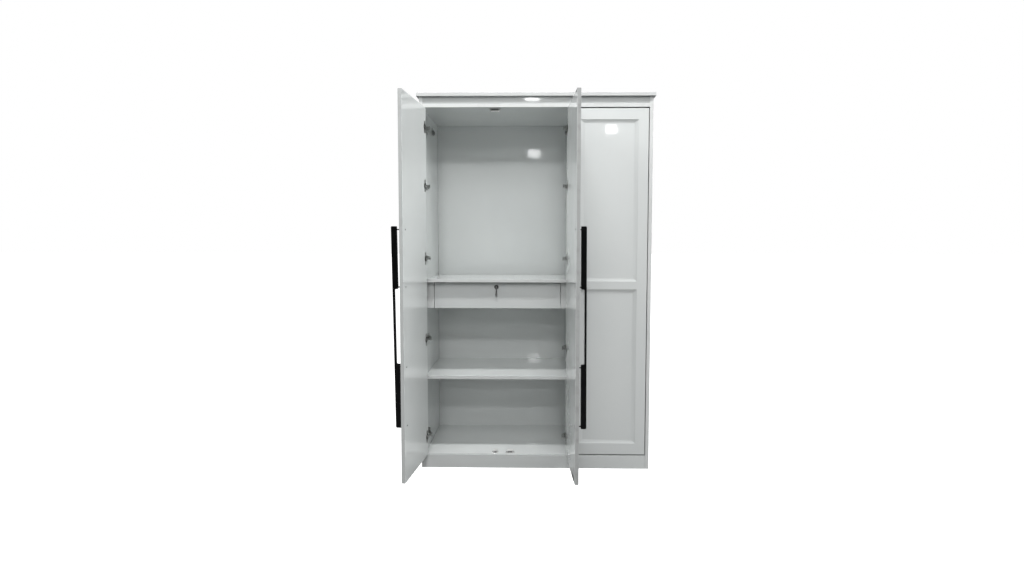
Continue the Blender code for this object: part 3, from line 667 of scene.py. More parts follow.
def doorSlab(settings, low, high):
    # The closed door in its hinge frame: x from the opening's corner, y from the front, z up.
    columns = (low.x, low.x + settings["stile"], high.x - settings["stile"], high.x)
    rows = (low.z, low.z + settings["bottomRail"], *settings["midRail"], high.z - settings["topRail"], high.z)

    def addField(bm, ring):
        # One routed panel: rings of the moulding, each smaller and deeper than the last, and a flat middle.
        corners = [vert.co.copy() for vert in ring]
        centre = sum(corners, Vector()) / 4
        for inset, depth in settings["mould"]:
            inner = []
            for corner in corners:
                away = centre - corner
                inward = Vector((math.copysign(inset, away.x), depth, math.copysign(inset, away.z)))
                inner.append(bm.verts.new(corner + inward))
            for k in range(4):
                bm.faces.new((ring[k], ring[(k + 1) % 4], inner[(k + 1) % 4], inner[k]))
            ring = inner
        bm.faces.new(ring)

    def build(bm):
        face = [[bm.verts.new((x, low.y, z)) for z in rows] for x in columns]
        for i in range(len(columns) - 1):
            for j in range(len(rows) - 1):
                ring = [face[i][j], face[i + 1][j], face[i + 1][j + 1], face[i][j + 1]]
                betweenStiles, betweenRails = i == 1, j in (1, 3)
                if betweenStiles and betweenRails:
                    addField(bm, ring)
                else:
                    bm.faces.new(ring)
        rim = [edge for edge in bm.edges if edge.is_boundary]
        grown = bmesh.ops.extrude_edge_only(bm, edges=rim)["geom"]
        moved = [item for item in grown if isinstance(item, bmesh.types.BMVert)]
        bmesh.ops.translate(bm, verts=moved, vec=(0, high.y - low.y, 0))
        bmesh.ops.contextual_create(bm, geom=[item for item in grown if isinstance(item, bmesh.types.BMEdge)])

    # Only the door's own outer edges are rounded: the moulding keeps its crisp quirk.
    return eased(meshOf(build), settings["edgeRadius"], 3, 80)


handleSettings = {
    "width": 0.016,
    "reach": 0.034,
    "standoff": 0.009,
    # off the door at its top (+) or its foot (-)
    "lean": {"door_left": 0.014, "door_middle": -0.004, "door_right": 0.0},
    "gripDepth": 0.0085,
    "fromEdge": 0.035,
    "gripBottom": 0.630,
    "gripTop": 0.9785,
    "screwHeights": (0.341, 0.616, 0.988, 1.252),
    "screw": (0.0042, 0.0022),
    "screwSpin": 1.5,
    "firstSeed": 3,
    "corner": 0.0055,
    "heel": 0.0022,
    "postRadius": 0.0028,
    "postOverlap": 0.001,
    "groove": 0.0016,
    "grooveDepth": 0.0007,
    "grooveEnd": 0.008,
    "edgeRadius": 0.0009,
}


def handleMesh(settings, bottom, top, centre, lean):
    # Side profile: two deep pads joined by a slim grip. It stands on round posts.
    near, far = -settings["standoff"], -settings["reach"]
    grip = far + settings["gripDepth"]
    corner, heel = settings["corner"], settings["heel"]
    gripBottom, gripTop = settings["gripBottom"], settings["gripTop"]
    outline = arcPoints((far + corner, bottom + corner), corner, 180, 270, 6)
    outline += arcPoints((near - heel, bottom + heel), heel, 270, 360, 4)
    outline += arcPoints((near - corner, gripBottom - corner), corner, 0, 90, 6)
    outline += arcPoints((grip + corner, gripBottom + corner), corner, 270, 180, 6)
    outline += arcPoints((grip + corner, gripTop - corner), corner, 180, 90, 6)
    outline += arcPoints((near - corner, gripTop + corner), corner, 270, 360, 6)
    outline += arcPoints((near - heel, top - heel), heel, 0, 90, 4)
    outline += arcPoints((far + corner, top - corner), corner, 90, 180, 6)
    half = settings["width"] / 2
    bar = eased(prismMesh(outline, centre - half, centre + half, "YZ"), settings["edgeRadius"], 3, 60)
    grooveHalf, end, floor = settings["groove"] / 2, settings["grooveEnd"], far + settings["grooveDepth"]
    pads = ((bottom + end, gripBottom - end), (gripTop + end, top - end))
    grooves = [boxMesh((centre - grooveHalf, far - through, low), (centre + grooveHalf, floor, high))
               for low, high in pads]

    def leanAt(height):
        share = (height - bottom) / (top - bottom)
        return lean * share if lean > 0 else -lean * (1 - share)

    bar = carved(bar, [joined(grooves)])
    for vertex in bar.vertices:
        vertex.co.y -= leanAt(vertex.co.z)
    posts = []
    for height in settings["screwHeights"]:
        start = near - leanAt(height) - settings["postOverlap"]
        posts.append(rodMesh((centre, height), settings["postRadius"], start, -fit, "XZ", 20, 0.0004))
    return joined([bar, *posts])


# A hinge is drawn about the opening's front corner: x into the opening, y into the cabinet, and z up from the
# middle of the hinge.
hingeSettings = {
    "heights": (0.178, 0.690, 1.111, 1.482, 1.780),
    "middleHeights": (0.172, 0.643, 1.111, 1.484, 1.780),
    "cupCentre": 0.0245,
    "cupRadius": 0.0172,
    "cupDepth": 0.012,
    "outerLink": 0.036,
    "outerLinkClosed": -2.0,
}


def roundedOutline(halfU, halfV, radius, centre=(0.0, 0.0), steps=5):
    outline = []
    for signU, signV, start in ((1, 1, 0), (-1, 1, 90), (-1, -1, 180), (1, -1, 270)):
        middle = (centre[0] + signU * (halfU - radius), centre[1] + signV * (halfV - radius))
        outline += arcPoints(middle, radius, start, start + 90, steps)
    return outline


def turnedTo(axis, place):
    # The matrix that lays a screw, drawn along Z, along another axis at a place.
    return Matrix.Translation(place) @ Vector(axis).to_track_quat("Z", "Y").to_matrix().to_4x4()


cupSettings = {
    "steel": 0.0012,
    "fold": 0.001,
    "lip": ((0.0009, 0.0001), (0.0009, 0.0006), (0.0003, 0.0009)),  # (outwards, up) from the rim
    "innerLip": 0.0007,
    "flange": (0.0095, 0.0320, 0.0045),
    "flangeGap": 0.0002,
    "pin": 0.0015,
    "pinEnd": 0.0008,
    "screw": (0.0038, 0.0013),
    "screwOffset": 0.0250,
    "screwSink": 0.0001,
}


def hingeCup(settings, pin):
    face = boardThickness + fit
    centre = (hingeSettings["cupCentre"], 0.0)
    radius, steel, fold = hingeSettings["cupRadius"], settings["steel"], settings["fold"]
    floor = boardThickness - hingeSettings["cupDepth"] + fit
    inner, inside = radius - steel, floor + steel
    profile = [(0, floor), (radius - fold, floor), (radius, floor + fold), (radius, face)]
    profile += [(radius + out, face + up) for out, up in settings["lip"]]
    profile += [(inner, face + settings["innerLip"]), (inner, inside + fold)]
    profile += [(inner - fold, inside), (0, inside)]
    bucket = meshOf(lambda bm: addLathe(bm, profile, centre, "XZ", 40))
    flange = prismMesh(roundedOutline(*settings["flange"], centre), face, face + steel, "XZ")
    opened = rodMesh(centre, radius - settings["flangeGap"], face - through, face + through, "XZ", 40)
    flange = eased(carved(flange, [opened]), 0.0004, 2)
    pinHalf = radius - settings["pinEnd"]
    pivotPin = rodMesh(pin, settings["pin"], -pinHalf, pinHalf, "XY", 16, 0.0003)
    top, offset = face + steel - settings["screwSink"], settings["screwOffset"]
    places = [turnedTo((0, 1, 0), (centre[0], top, z)) for z in (-offset, offset)]
    return withScrews(joined([bucket, flange, pivotPin]), crossScrew(*settings["screw"]), places)


armSettings = {
    "body": ((0.0095, 0.048), (0.0135, 0.046), (0.0135, 0.098), (0.0095, 0.098)),
    "bodyHalf": 0.0110,
    "nose": ((0.0200, 0.0430), (0.0130, 0.0540), (0.0100, 0.0540), (0.0110, 0.0430)),
    "noseRadius": 0.0042,
    "noseHalf": 0.0058,
    "eye": 0.0019,
    "slot": ((0.0085, 0.070, -0.0022), (0.0150, 0.0775, 0.0022)),
    "screw": (0.0032, 0.0016),
    "screwBase": 0.0134,
    "screwPlaces": (0.062, 0.084),
}


def hingeArm(settings, pin):
    # A pressed channel over the plate, cranked down to a nose that holds the outer link.
    body = prismMesh(settings["body"], -settings["bodyHalf"], settings["bodyHalf"])
    outline = arcPoints(pin, settings["noseRadius"], -120, 30, 10) + list(settings["nose"])
    nose = prismMesh(outline, -settings["noseHalf"], settings["noseHalf"])
    hollows = joined([rodMesh(pin, settings["eye"], -through, through, "XY", 20), boxMesh(*settings["slot"])])
    arm = eased(carved(carved(body, [nose], "UNION"), [hollows]), 0.0006, 2)
    places = [turnedTo((1, 0, 0), (settings["screwBase"], y, 0.0)) for y in settings["screwPlaces"]]
    return withScrews(arm, crossScrew(*settings["screw"]), places)


plateSettings = {
    "wings": (0.0080, 0.0300, 0.0045, (0.064, 0.0)),
    "spine": (0.0220, 0.0120, 0.0030, (0.072, 0.0)),
    "face": 0.0020,
    "saddle": ((0.0015, 0.052, -0.0100), (0.0092, 0.092, 0.0100)),
    "screw": (0.0040, 0.0017),
    "screwBase": 0.0019,
    "screwPlaces": ((0.064, -0.0230), (0.064, 0.0230)),
}


def hingePlate(settings):
    # The cross-shaped mounting plate on the wall, with its raised saddle.
    wings = prismMesh(roundedOutline(*settings["wings"]), fit, settings["face"], "YZ")
    spine = prismMesh(roundedOutline(*settings["spine"]), fit, settings["face"], "YZ")
    plate = carved(wings, [spine, boxMesh(*settings["saddle"])], "UNION")
    places = [turnedTo((1, 0, 0), (settings["screwBase"], y, z)) for y, z in settings["screwPlaces"]]
    return withScrews(eased(plate, 0.0005, 2), crossScrew(*settings["screw"]), places)


linkSettings = {
    "cheekEnds": (0.0040, 0.0030),
    "cheekLows": (-0.0090, 0.0074),
    "cheekThickness": 0.0016,
    "pin": 0.0015,
    "pinHalf": 0.0098,
    "rivet": 0.0024,
    "rivetHeight": 0.0010,
    "tongueEnds": (0.0033, 0.0025),
    "tongueHalf": 0.0055,
    "eye": 0.0019,
}


def linkOutline(length, startRadius, endRadius):
    return arcPoints((0, 0), startRadius, 90, 270, 10) + arcPoints((length, 0), endRadius, -90, 90, 10)


def outerLink(settings, length):
    # Two cheeks on a riveted pin.
    outline, thickness = linkOutline(length, *settings["cheekEnds"]), settings["cheekThickness"]
    cheeks = joined([prismMesh(outline, low, low + thickness) for low in settings["cheekLows"]])
    pinHalf, head = settings["pinHalf"], settings["rivetHeight"]
    pin = rodMesh((0, 0), settings["pin"], -pinHalf, pinHalf, "XY", 16, 0.0003)
    rivets = [rodMesh((0, 0), settings["rivet"], low, low + head, "XY", 16, 0.0004)
              for low in (-pinHalf, pinHalf - head)]
    return joined([eased(cheeks, 0.0003, 2), pin, *rivets])


def innerLink(settings, length):
    tongueHalf = settings["tongueHalf"]
    tongue = prismMesh(linkOutline(length, *settings["tongueEnds"]), -tongueHalf, tongueHalf)
    eye = rodMesh((0, 0), settings["eye"], -through, through, "XY", 20)
    return eased(carved(tongue, [eye]), 0.0004, 2)


def meetingPoint(first, firstRadius, second, secondRadius):
    # The point at both radii, to the left of the way from first to second.
    gap = second - first
    along = (firstRadius ** 2 + gap.length_squared - secondRadius ** 2) / (2 * gap.length)
    off = math.sqrt(firstRadius ** 2 - along ** 2)
    unit = gap.normalized()
    return first + unit * along + Vector((-unit.y, unit.x)) * off


def heading(start, end):
    return math.atan2(end.y - start.y, end.x - start.x)


class DoorPlan:
    # Where one door hangs: its corner, which way it reaches, how far it stands open, and its hinge pins.
    def __init__(self, label, corner, side):
        swing = joints[f"{label}_swing"]
        self.label = label
        self.title = titleOf(label)
        self.corner = corner
        self.side = side
        self.opening = math.radians(-swing["range_deg"][0])
        self.toWorld = Matrix.Translation((corner, carcassFront, 0)) @ Matrix.Diagonal((side, 1, 1, 1))
        self.pivot = self.local(swing)
        self.turn = Matrix.Rotation(-side * self.opening, 4, "Z")
        hub = Matrix.Translation((corner + side * self.pivot.x, carcassFront + self.pivot.y, 0))
        self.doorRest = hub @ self.turn @ hub.inverted() @ self.toWorld
        self.armPin = self.local(joints[f"{label}_outer_link_turn"])
        self.cupPinOpen = self.local(joints[f"{label}_inner_link_turn"])
        self.cupPin = self.swung(self.cupPinOpen, -self.opening)
        self.hingeHeights = hingeSettings["middleHeights" if label == "door_middle" else "heights"]

    def local(self, joint):
        x, y, _ = joint["pos_m"]
        return Vector((self.side * (x - self.corner), y - carcassFront))

    def swung(self, point, angle):
        x, y = point - self.pivot
        turned = (x * math.cos(angle) + y * math.sin(angle), y * math.cos(angle) - x * math.sin(angle))
        return self.pivot + Vector(turned)


doorPlans = (
    DoorPlan("door_left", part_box("side_left")[1].x, 1),
    DoorPlan("door_middle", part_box("partition")[0].x, -1),
    DoorPlan("door_right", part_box("side_right")[0].x, -1),
)


def makeHinges(plan, settings, steel):
    # Five of each hinge part, one piece for each body that it moves with.
    pivot, armPin, cupPin = plan.pivot, plan.armPin, plan.cupPin
    length = settings["outerLink"]
    closed = math.radians(settings["outerLinkClosed"])
    elbowClosed = armPin + length * Vector((math.cos(closed), math.sin(closed)))
    innerLength = (elbowClosed - cupPin).length
    elbow = meetingPoint(armPin, length, plan.cupPinOpen, innerLength)
    outerTurn = plan.side * heading(armPin, elbow)
    innerTurn = plan.side * heading(plan.cupPinOpen, elbow)
    mirror = Matrix.Diagonal((plan.side, 1, 1, 1))
    cup = hingeCup(cupSettings, cupPin)
    cup.transform(Matrix.Translation((-pivot.x, -pivot.y, 0)))
    corner = Vector((0, 0))
    parts = (
        # title, shape, where it turns, its turn, the body it rides, the node it stands for
        ("Cups", cup, pivot, -plan.side * plan.opening, plan.label, "hinge_cup"),
        ("Arms", hingeArm(armSettings, armPin), corner, 0.0, "carcass", "hinge_arm"),
        ("Plates", hingePlate(plateSettings), corner, 0.0, "carcass", "hinge_plate"),
        ("OuterLinks", outerLink(linkSettings, length), armPin, outerTurn,
         f"{plan.label}_outer_link", "hinge_outer_link"),
        ("InnerLinks", innerLink(linkSettings, innerLength), plan.cupPinOpen, innerTurn,
         f"{plan.label}_inner_link", "hinge_inner_link"),
    )
    for title, mesh, spot, turn, body, node in parts:
        spots = [plan.toWorld @ Vector((spot.x, spot.y, height)) for height in plan.hingeHeights]
        grownPiece(f"{plan.title}Hinge{title}", pointTree, placed(mesh, mirror), spots,
                   {"Finish": steel, "Turn": (0.0, 0.0, turn)}, body, (f"{plan.label}_{node}",))


def makePanel(plan, finishes, freeEdge):
    low, high = closedDoor
    slabLow = Vector((doorGap, low.y - carcassFront, low.z))
    slabHigh = Vector((freeEdge, high.y - carcassFront, high.z))
    depth = boardThickness - hingeSettings["cupDepth"]
    radius = hingeSettings["cupRadius"] + fit
    bores = [rodMesh((hingeSettings["cupCentre"], height), radius, depth, boardThickness + through, "XZ", 40)
             for height in plan.hingeHeights]
    slab = carved(doorSlab(doorSettings, slabLow, slabHigh), bores)
    reach = doorSettings["bandReach"]
    for face in slab.polygons:
        x, y, z = face.center
        edgeOn = abs(face.normal.y) < 0.5 and y > slabLow.y + doorSettings["bandSlack"]
        outside = min(x - slabLow.x, slabHigh.x - x, z - slabLow.z, slabHigh.z - z) < reach
        if edgeOn and outside:
            face.material_index = 1
        elif face.normal.y > 0.5:
            face.material_index = 2
    finishPiece(f"{plan.title}Panel", placed(slab, plan.doorRest), finishes, plan.label,
                (f"{plan.label}_panel",), 24)


def makeHandle(plan, settings, freeEdge, black, steel):
    low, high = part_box("door_right_handle")
    centre = freeEdge - settings["fromEdge"]
    handle = handleMesh(settings, low.z, high.z, centre, settings["lean"][plan.label])
    finishPiece(f"{plan.title}Handle", placed(handle, plan.doorRest), (black,), plan.label,
                (f"{plan.label}_handle",))

    spots = [plan.doorRest @ Vector((centre, boardThickness, z)) for z in settings["screwHeights"]]
    facing = (plan.turn @ Vector((0, 1, 0, 0))).to_3d()
    turn = facing.to_track_quat("Z", "Y").to_euler()
    seed = settings["firstSeed"] + len(plan.label)
    values = {"Finish": steel, "Turn": tuple(turn), "Spin": settings["screwSpin"], "Seed": seed}
    screw = crossScrew(*settings["screw"])
    grownPiece(f"{plan.title}HandleScrews", pointTree, screw, spots, values, plan.label)


def makeDoor(plan, panelFinishes, black, steel, hingeSteel):
    freeEdge = doorGap + doorWidths[plan.label]
    makePanel(plan, panelFinishes, freeEdge)
    makeHandle(plan, handleSettings, freeEdge, black, steel)
    makeHinges(plan, hingeSettings, hingeSteel)


lockSettings = {
    "ring": 0.0120,
    "barrel": 0.0092,
    "bore": 0.0066,
    "behind": 0.0030,
    # the rose round the plug as (radius, proud of the drawer's face)
    "rose": ((0.0066, 0.0018), (0.0072, 0.0024), (0.0098, 0.0025), (0.0108, 0.0021), (0.0120, 0.0012)),
    "plug": 0.0062,
    "plugProud": 0.0030,
    "plugBehind": 0.0045,
    "keyway": (0.0014, 0.0040, 0.013),
    "camHub": 0.0065,
    "camCorner": 0.0025,
}
keySettings = {
    "stemHalf": 0.0035,
    "stemLength": 0.030,
    "bow": 0.0065,
    "bowDrop": 0.041,
    "bowFront": 0.0125,
    "bowRear": 0.0085,
    "ringHole": (0.042, 0.0028),
    "dimple": (0.018, 0.0020, 0.0005),
    "collar": (0.0045, 0.0095, 0.0036),
    "blade": (0.0010, 0.0036, 0.0090, 0.0120),
    "bites": (0.0012, 0.0006, 0.0015, 0.0009),
    "firstBite": 0.0005,
    "bitePitch": 0.0026,
    "biteWidth": 0.0014,
}


def makeLock(settings, chrome, steel):
    x, face, z = joints["lock_turn"]["pos_m"]
    centre = (x, z)
    rear = face + boardThickness + settings["behind"]
    ring, barrel, bore = settings["ring"], settings["barrel"], settings["bore"]
    profile = [(bore, rear)] + [(radius, face - proud) for radius, proud in settings["rose"]]
    profile += [(ring, face - fit), (barrel, face - fit), (barrel, rear), (bore, rear)]

    def case(bm):
        # The tube's profile ends where it starts, and the doubled ring is made one.
        addLathe(bm, profile, centre, "XZ", 40)
        bmesh.ops.remove_doubles(bm, verts=bm.verts, dist=0.00002)

    finishPiece("lockCase", meshOf(case), (chrome,), "drawer", ("lock_case",))

    plugEnd = face + boardThickness + settings["plugBehind"] - fit
    plug = rodMesh(centre, settings["plug"], face - settings["plugProud"], plugEnd, "XZ", 32, 0.0008)
    halfX, halfZ, depth = settings["keyway"]
    keyway = boxMesh((x - halfX, face - through, z - halfZ), (x + halfX, face + depth, z + halfZ))
    finishPiece("lockCylinder", carved(plug, [keyway]), (chrome,), "lock", ("lock_cylinder",))

    camLow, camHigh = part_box("lock_cam")
    corner = settings["camCorner"]
    outline = arcPoints(centre, settings["camHub"], 90, 270, 14)
    outline += arcPoints((camHigh.x - corner, z - corner), corner, 270, 360, 4)
    outline += arcPoints((camHigh.x - corner, z + corner), corner, 0, 90, 4)
    cam = prismMesh(outline, camLow.y, camHigh.y, "XZ")
    finishPiece("lockCam", eased(cam, 0.0004, 2), (steel,), "lock", ("lock_cam",))


def makeKey(settings, keyMetal):
    # A bitted blade in the plug, a round collar, and a flat stem that hangs from it with a pierced bow.
    x, face, z = joints["lock_turn"]["pos_m"]
    half, length, drop = settings["stemHalf"], settings["stemLength"], settings["bowDrop"]
    front, rear = face - settings["bowFront"], face - settings["bowRear"]
    outline = arcPoints((x, z), half, 0, 180, 10) + [(x - half, z - length)]
    outline += arcPoints((x, z - drop), settings["bow"], 140, 400, 24) + [(x + half, z - length)]
    holeDrop, holeRadius = settings["ringHole"]
    ringHole = rodMesh((x, z - holeDrop), holeRadius, front - through, face, "XZ", 24)
    dimpleDrop, dimpleRadius, dimpleDepth = settings["dimple"]
    dimple = rodMesh((x, z - dimpleDrop), dimpleRadius, front - 0.001, front + dimpleDepth, "XZ", 24)
    head = eased(carved(prismMesh(outline, front, rear, "XZ"), [ringHole, dimple]), 0.0007, 3)
    radius, start, end = settings["collar"]
    collar = rodMesh((x, z), radius, face - start, face - end, "XZ", 24, 0.0008)
    halfX, halfZ, out, into = settings["blade"]
    blade = boxMesh((x - halfX, face - out, z - halfZ), (x + halfX, face + into, z + halfZ))
    teeth = []
    for step, bite in enumerate(settings["bites"]):
        start = face + settings["firstBite"] + step * settings["bitePitch"]
        low = (x - halfX - 0.002, start, z + halfZ - bite)
        high = (x + halfX + 0.002, start + settings["biteWidth"], z + halfZ + 0.002)
        teeth.append(boxMesh(low, high))
    key = joined([carved(blade, teeth), collar, head])
    finishPiece("drawerKey", key, (keyMetal,), "lock", ("drawer_key",))


socketSettings = {
    "plate": 0.017,
    "tip": 0.006,
    "tipRise": 0.026,
    "cup": 0.0145,
    "cupRise": 0.012,
    "wall": 0.0025,
    "thickness": 0.0025,
    "screw": (0.0036, 0.0016),
    "screwHeights": (0.025, -0.002),
    "screwSink": 0.0001,
}


def makeRailSocket(node, settings, inward, steel):
    low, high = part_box(node)
    wall = low.x if inward > 0 else high.x
    y, z = (low.y + high.y) / 2, low.z + settings["plate"]
    thickness, cup, rise = settings["thickness"], settings["cup"], settings["cupRise"]
    inner = cup - settings["wall"]
    outline = arcPoints((0, 0), settings["plate"], 180, 360, 20)
    outline += arcPoints((0, settings["tipRise"]), settings["tip"], 0, 180, 10)
    plate = prismMesh(outline, 0, thickness, "YZ")
    outline = [(cup, rise)] + arcPoints((0, 0), cup, 0, -180, 24) + [(-cup, rise)]
    outline += [(-inner, rise)] + arcPoints((0, 0), inner, 180, 360, 24) + [(inner, rise)]
    trough = prismMesh(outline, thickness / 2, high.x - low.x, "YZ")
    body = eased(carved(plate, [trough], "UNION"), 0.0005, 2, 50)
    base = thickness - settings["screwSink"]
    places = [turnedTo((1, 0, 0), (base, 0, height)) for height in settings["screwHeights"]]
    mesh = withScrews(body, crossScrew(*settings["screw"]), places)
    mesh = placed(mesh, Matrix.Translation((wall, y, z)) @ Matrix.Diagonal((inward, 1, 1, 1)))
    finishPiece(titleOf(node), mesh, (steel,), "carcass", (node,))


catchSettings = {
    "ears": {"catch_top": 0.009, "catch_bottom_left": 0.008, "catch_bottom_middle": 0.011},
    "earDepth": 0.014,
    "earHeight": 0.0035,
    "earHalf": 0.0070,
    "earRadius": 0.0060,
    "slotInset": 0.0018,
    "slotDepth": 0.0050,
    "slotSpan": (0.0028, 0.0022),
    "poleInset": 0.0022,
    "poleDepth": 0.0045,
    "poleThickness": 0.0016,
    "poleSpan": (0.0034, 0.0050),
    "screw": (0.0032, 0.0016),
    "screwSink": 0.0001,
}


def makeCatch(node, settings, plastic, magnetSteel):
    # A moulded housing on a board, two steel pole plates in its front, and a screw in each ear.
    low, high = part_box(node)
    ear = settings["ears"][node]
    surface, away = (high.z, -1) if node == "catch_top" else (low.z, 1)
    tall = high.z - low.z
    centre = (low.x + high.x) / 2
    halfWidth = (high.x - low.x) / 2
    half = halfWidth - ear
    earY = low.y + settings["earDepth"]

    def block(inset, front, rear, start, end):
        # A box of the housing's width less the inset, between two heights off the board.
        bottom, top = sorted((surface + away * start, surface + away * end))
        return boxMesh((centre - half + inset, front, bottom), (centre + half - inset, rear, top))

    bottom, top = sorted((surface, surface + away * settings["earHeight"]))
    outline = roundedOutline(halfWidth, settings["earHalf"], settings["earRadius"], (centre, earY))
    ears = prismMesh(outline, bottom, top)
    slotLow, slotHigh = settings["slotSpan"]
    slotRear = low.y + settings["slotDepth"]
    slot = block(settings["slotInset"], low.y - through, slotRear, slotLow, tall - slotHigh)
    shell = carved(block(0, low.y, high.y, 0, tall), [ears], "UNION")
    shell = eased(carved(shell, [slot]), 0.0006, 2)
    finishPiece(titleOf(node), shell, (plastic,), "carcass", (node,))

    first, last = settings["poleSpan"]
    inset, depth, thickness = settings["poleInset"], settings["poleDepth"], settings["poleThickness"]
    poles = [block(inset, low.y, low.y + depth, start, start + thickness) for start in (first, tall - last)]
    side = halfWidth - ear / 2
    base = surface + away * (settings["earHeight"] - settings["screwSink"])
    places = [turnedTo((0, 0, away), (centre + sign * side, earY, base)) for sign in (-1, 1)]
    metal = withScrews(eased(joined(poles), 0.0003, 1), crossScrew(*settings["screw"]), places)
    finishPiece(f"{titleOf(node)}Metal", metal, (magnetSteel,), "carcass")


supportSettings = {
    "inset": 0.070,
    "pad": (0.0075, 0.0060, 0.003),
    "gap": 0.0004,
    "thickness": 0.0016,
    "pin": 0.0025,
    "pinDrop": 0.0075,
    "pinReach": 0.0042,
    "proud": 0.0090,
}


def shelfSupport(settings):
    # A pin out of the wall with a pad under the shelf, drawn from the wall along +X and hanging below z = 0.
    halfY, halfZ, radius = settings["pad"]
    gap, thickness = settings["gap"], settings["thickness"]
    outline = roundedOutline(halfY, halfZ, radius, (0.0, -halfZ - thickness))
    pad = prismMesh(outline, gap, gap + thickness, "YZ")
    ledge = boxMesh((gap, -halfY, -thickness - fit), (settings["proud"], halfY, -fit))
    pin = rodMesh((0.0, -settings["pinDrop"]), settings["pin"], gap, settings["pinReach"], "YZ", 20, 0.0008)
    return joined([eased(joined([pad, ledge]), 0.0004, 2), pin])


def makeShelfSupports(settings, steel):
    wallLeft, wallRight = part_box("partition")[1].x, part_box("side_right")[0].x
    for title, wall, turn in (("supportsLeft", wallLeft, 0.0), ("supportsRight", wallRight, math.pi)):
        spots = []
        for node in ("narrow_shelf_1", "narrow_shelf_2"):
            low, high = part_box(node)
            spots += [(wall, y, low.z) for y in (low.y + settings["inset"], high.y - settings["inset"])]
        values = {"Finish": steel, "Turn": (0.0, 0.0, turn)}
        grownPiece(title, pointTree, shelfSupport(settings), spots, values, "carcass")


nailSettings = {
    "spacing": 0.135,
    "inset": 0.010,
    "head": (0.0026, 0.0009, 0.0004),
    "spin": 1.5,
    "firstSeed": 11,
}


def makeBackNails(settings, steel):
    inset = settings["inset"]
    for number, node in enumerate(("back_board_wide", "back_board_narrow")):
        low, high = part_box(node)
        values = {
            "Width": high.x - low.x - 2 * inset,
            "Height": high.z - low.z - 2 * inset,
            "Spacing": settings["spacing"],
            "Centre": ((low.x + high.x) / 2, high.y, (low.z + high.z) / 2),
            "Finish": steel,
            "Turn": (-math.pi / 2, 0.0, 0.0),
            "Spin": settings["spin"],
            "Seed": settings["firstSeed"] + number,
        }
        head = crossScrew(*settings["head"])
        grownPiece(f"backScrews{number + 1}", rimTree, head, [(0, 0, 0)], values, "carcass")


def makeCarcass(lacquer, shadeDimmedLacquer, overhangShadowLacquer, edge, topEdge, paper):
    front = boardSettings["carcassBand"]
    gloss = (lacquer, edge)
    # The fascia takes the most dimmed lacquer: a painted shadow under the top board's overhang.
    makeBoard("fascia_rail", (overhangShadowLacquer, edge), "carcass", ())
    # The plinth takes the dimmed lacquer: painted shade.
    makeBoard("plinth_board", (shadeDimmedLacquer, edge), "carcass", ())
    for node in ("side_left", "side_right", "partition", "bottom_panel", "top_panel",
                 "shelf_lower", "narrow_shelf_1", "narrow_shelf_2", "drawer_spacer_left",
                 "drawer_spacer_right", "drawer_cheek_left", "drawer_cheek_right", "base_rail_rear",
                 "base_rail_middle"):
        makeBoard(node, gloss, "carcass", front)
    topBand, topRadius = boardSettings["topBand"], boardSettings["topEdgeRadius"]
    makeBoard("top_board", (lacquer, topEdge), "carcass", topBand, topRadius)
    pocketLow, pocketHigh = (Vector(corner) for corner in openings["lock_mortise"])
    pocketLow -= Vector((*boardSettings["mortiseRoom"], through))
    pocketHigh += Vector((*boardSettings["mortiseRoom"], 0.0))
    makeBoard("shelf_upper", gloss, "carcass", front, tools=[boxMesh(pocketLow, pocketHigh)])
    for node in ("back_board_wide", "back_board_narrow"):
        makeBoard(node, (lacquer, paper), "carcass", ((0, 1, 0),), boardSettings["thinEdgeRadius"])


def dressNode(node, finish):
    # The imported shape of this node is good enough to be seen, so it only gets a finish.
    mesh = frame["nodes"][node].data
    mesh.materials.clear()
    mesh.materials.append(finish)


def makeDrawer(lacquer, shadeDimmedLacquer, edge, coated):
    x, face, z = joints["lock_turn"]["pos_m"]
    rear = face + boardThickness
    hole = rodMesh((x, z), boardSettings["lockHole"], face - through, rear + through, "XZ", 40)
    # The drawer front takes the dimmed lacquer: painted shade under the shelf above it.
    makeBoard("drawer_front", (shadeDimmedLacquer, edge), "drawer", (), tools=[hole])
    for node in ("drawer_side_left", "drawer_side_right", "drawer_back"):
        makeBoard(node, (lacquer, edge), "drawer", ((0, 0, 1),))
    makeBoard("drawer_bottom", (lacquer, edge), "drawer", (), boardSettings["thinEdgeRadius"])
    for node in ("runner_cabinet_left", "runner_cabinet_right", "runner_drawer_left", "runner_drawer_right"):
        dressNode(node, coated)


addCamera(viewSettings)
for lamp in lampSettings["lamps"]:
    addLamp(*lamp)
addSky(lampSettings)
addFloor(floorSettings)
bpy.context.scene.view_settings.view_transform = "Standard"
print("camera, light and floor ready")

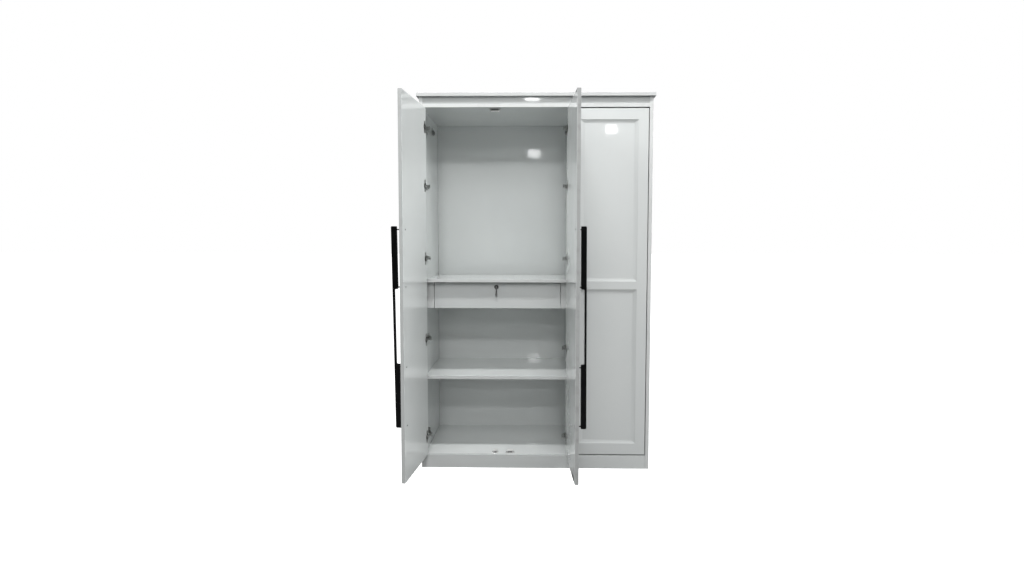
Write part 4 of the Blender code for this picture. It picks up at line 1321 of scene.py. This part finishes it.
lacquer = lacquerFinish("glossLacquer", lacquerSettings)
# Dimmed copies of the same lacquer paint shade: 0.80 on the doors, drawer front and plinth.
shadeDimmedLacquer = lacquerFinish("shadeDimmedLacquer", lacquerSettings, 0.80)
# The fascia's copy is dimmed to 0.66: painted shadow of the top board's overhang.
fasciaShadowLacquer = lacquerFinish("fasciaShadowLacquer", lacquerSettings, 0.66)
edge = mottledFinish("edgeBand", (0.56, 0.572, 0.568), (0.51, 0.52, 0.51), bandSurface)
doorEdge = mottledFinish("doorEdge", (0.44, 0.455, 0.45), (0.40, 0.41, 0.405), bandSurface)
# The middle door's edge band is darker: painted shade on its free edge.
middleEdgeShade = mottledFinish("middleEdgeShade", (0.35, 0.36, 0.357), (0.26, 0.265, 0.26), bandSurface)
topEdge = mottledFinish("topEdge", (0.50, 0.512, 0.508), (0.46, 0.468, 0.462), bandSurface)
paper = mottledFinish("backPaper", (0.60, 0.59, 0.56), (0.50, 0.49, 0.46), paperSurface)
black = mottledFinish("blackCoating", (0.0022, 0.0024, 0.0026), (0.0060, 0.0060, 0.0064), blackSurface)
plating = platedSurface((0.24, 0.42), 0.0012)
steel = mottledFinish("nickelPlate", (0.34, 0.34, 0.335), (0.17, 0.17, 0.165), plating)
hingeSteel = mottledFinish("hingePlate", (0.40, 0.40, 0.39), (0.20, 0.20, 0.195), plating)
dullPlating = platedSurface((0.30, 0.48), 0.0015)
brightPlating = platedSurface((0.14, 0.26), 0.002)
keyPlating = platedSurface((0.20, 0.36), 0.0015)
magnetSteel = mottledFinish("darkSteel", (0.20, 0.20, 0.20), (0.10, 0.10, 0.10), dullPlating)
chrome = mottledFinish("lockPlate", (0.40, 0.40, 0.40), (0.26, 0.26, 0.26), brightPlating)
keyMetal = mottledFinish("keyMetal", (0.66, 0.66, 0.65), (0.42, 0.42, 0.41), keyPlating)
coated = mottledFinish("coatedSteel", (0.78, 0.79, 0.78), (0.70, 0.71, 0.70), coatedSurface)
plastic = mottledFinish("mouldedPlastic", (0.66, 0.66, 0.65), (0.58, 0.58, 0.57), plasticSurface)
print("finishes ready")

makeCarcass(lacquer, shadeDimmedLacquer, fasciaShadowLacquer, edge, topEdge, paper)
print("carcass ready")
makeDrawer(lacquer, shadeDimmedLacquer, edge, coated)
makeLock(lockSettings, chrome, steel)
makeKey(keySettings, keyMetal)
print("drawer and lock ready")
for plan in doorPlans:
    # The middle door's free edge takes the darker band: painted shade.
    bandOnDoor = middleEdgeShade if plan.label == "door_middle" else doorEdge
    makeDoor(plan, (shadeDimmedLacquer, bandOnDoor, lacquer), black, steel, hingeSteel)
dressNode("door_middle_strike", magnetSteel)
print("doors and hinges ready")
makeRailSocket("rail_socket_left", socketSettings, 1, steel)
makeRailSocket("rail_socket_right", socketSettings, -1, steel)
for node in catchSettings["ears"]:
    makeCatch(node, catchSettings, plastic, magnetSteel)
makeShelfSupports(supportSettings, steel)
makeBackNails(nailSettings, steel)
print("small fittings ready")
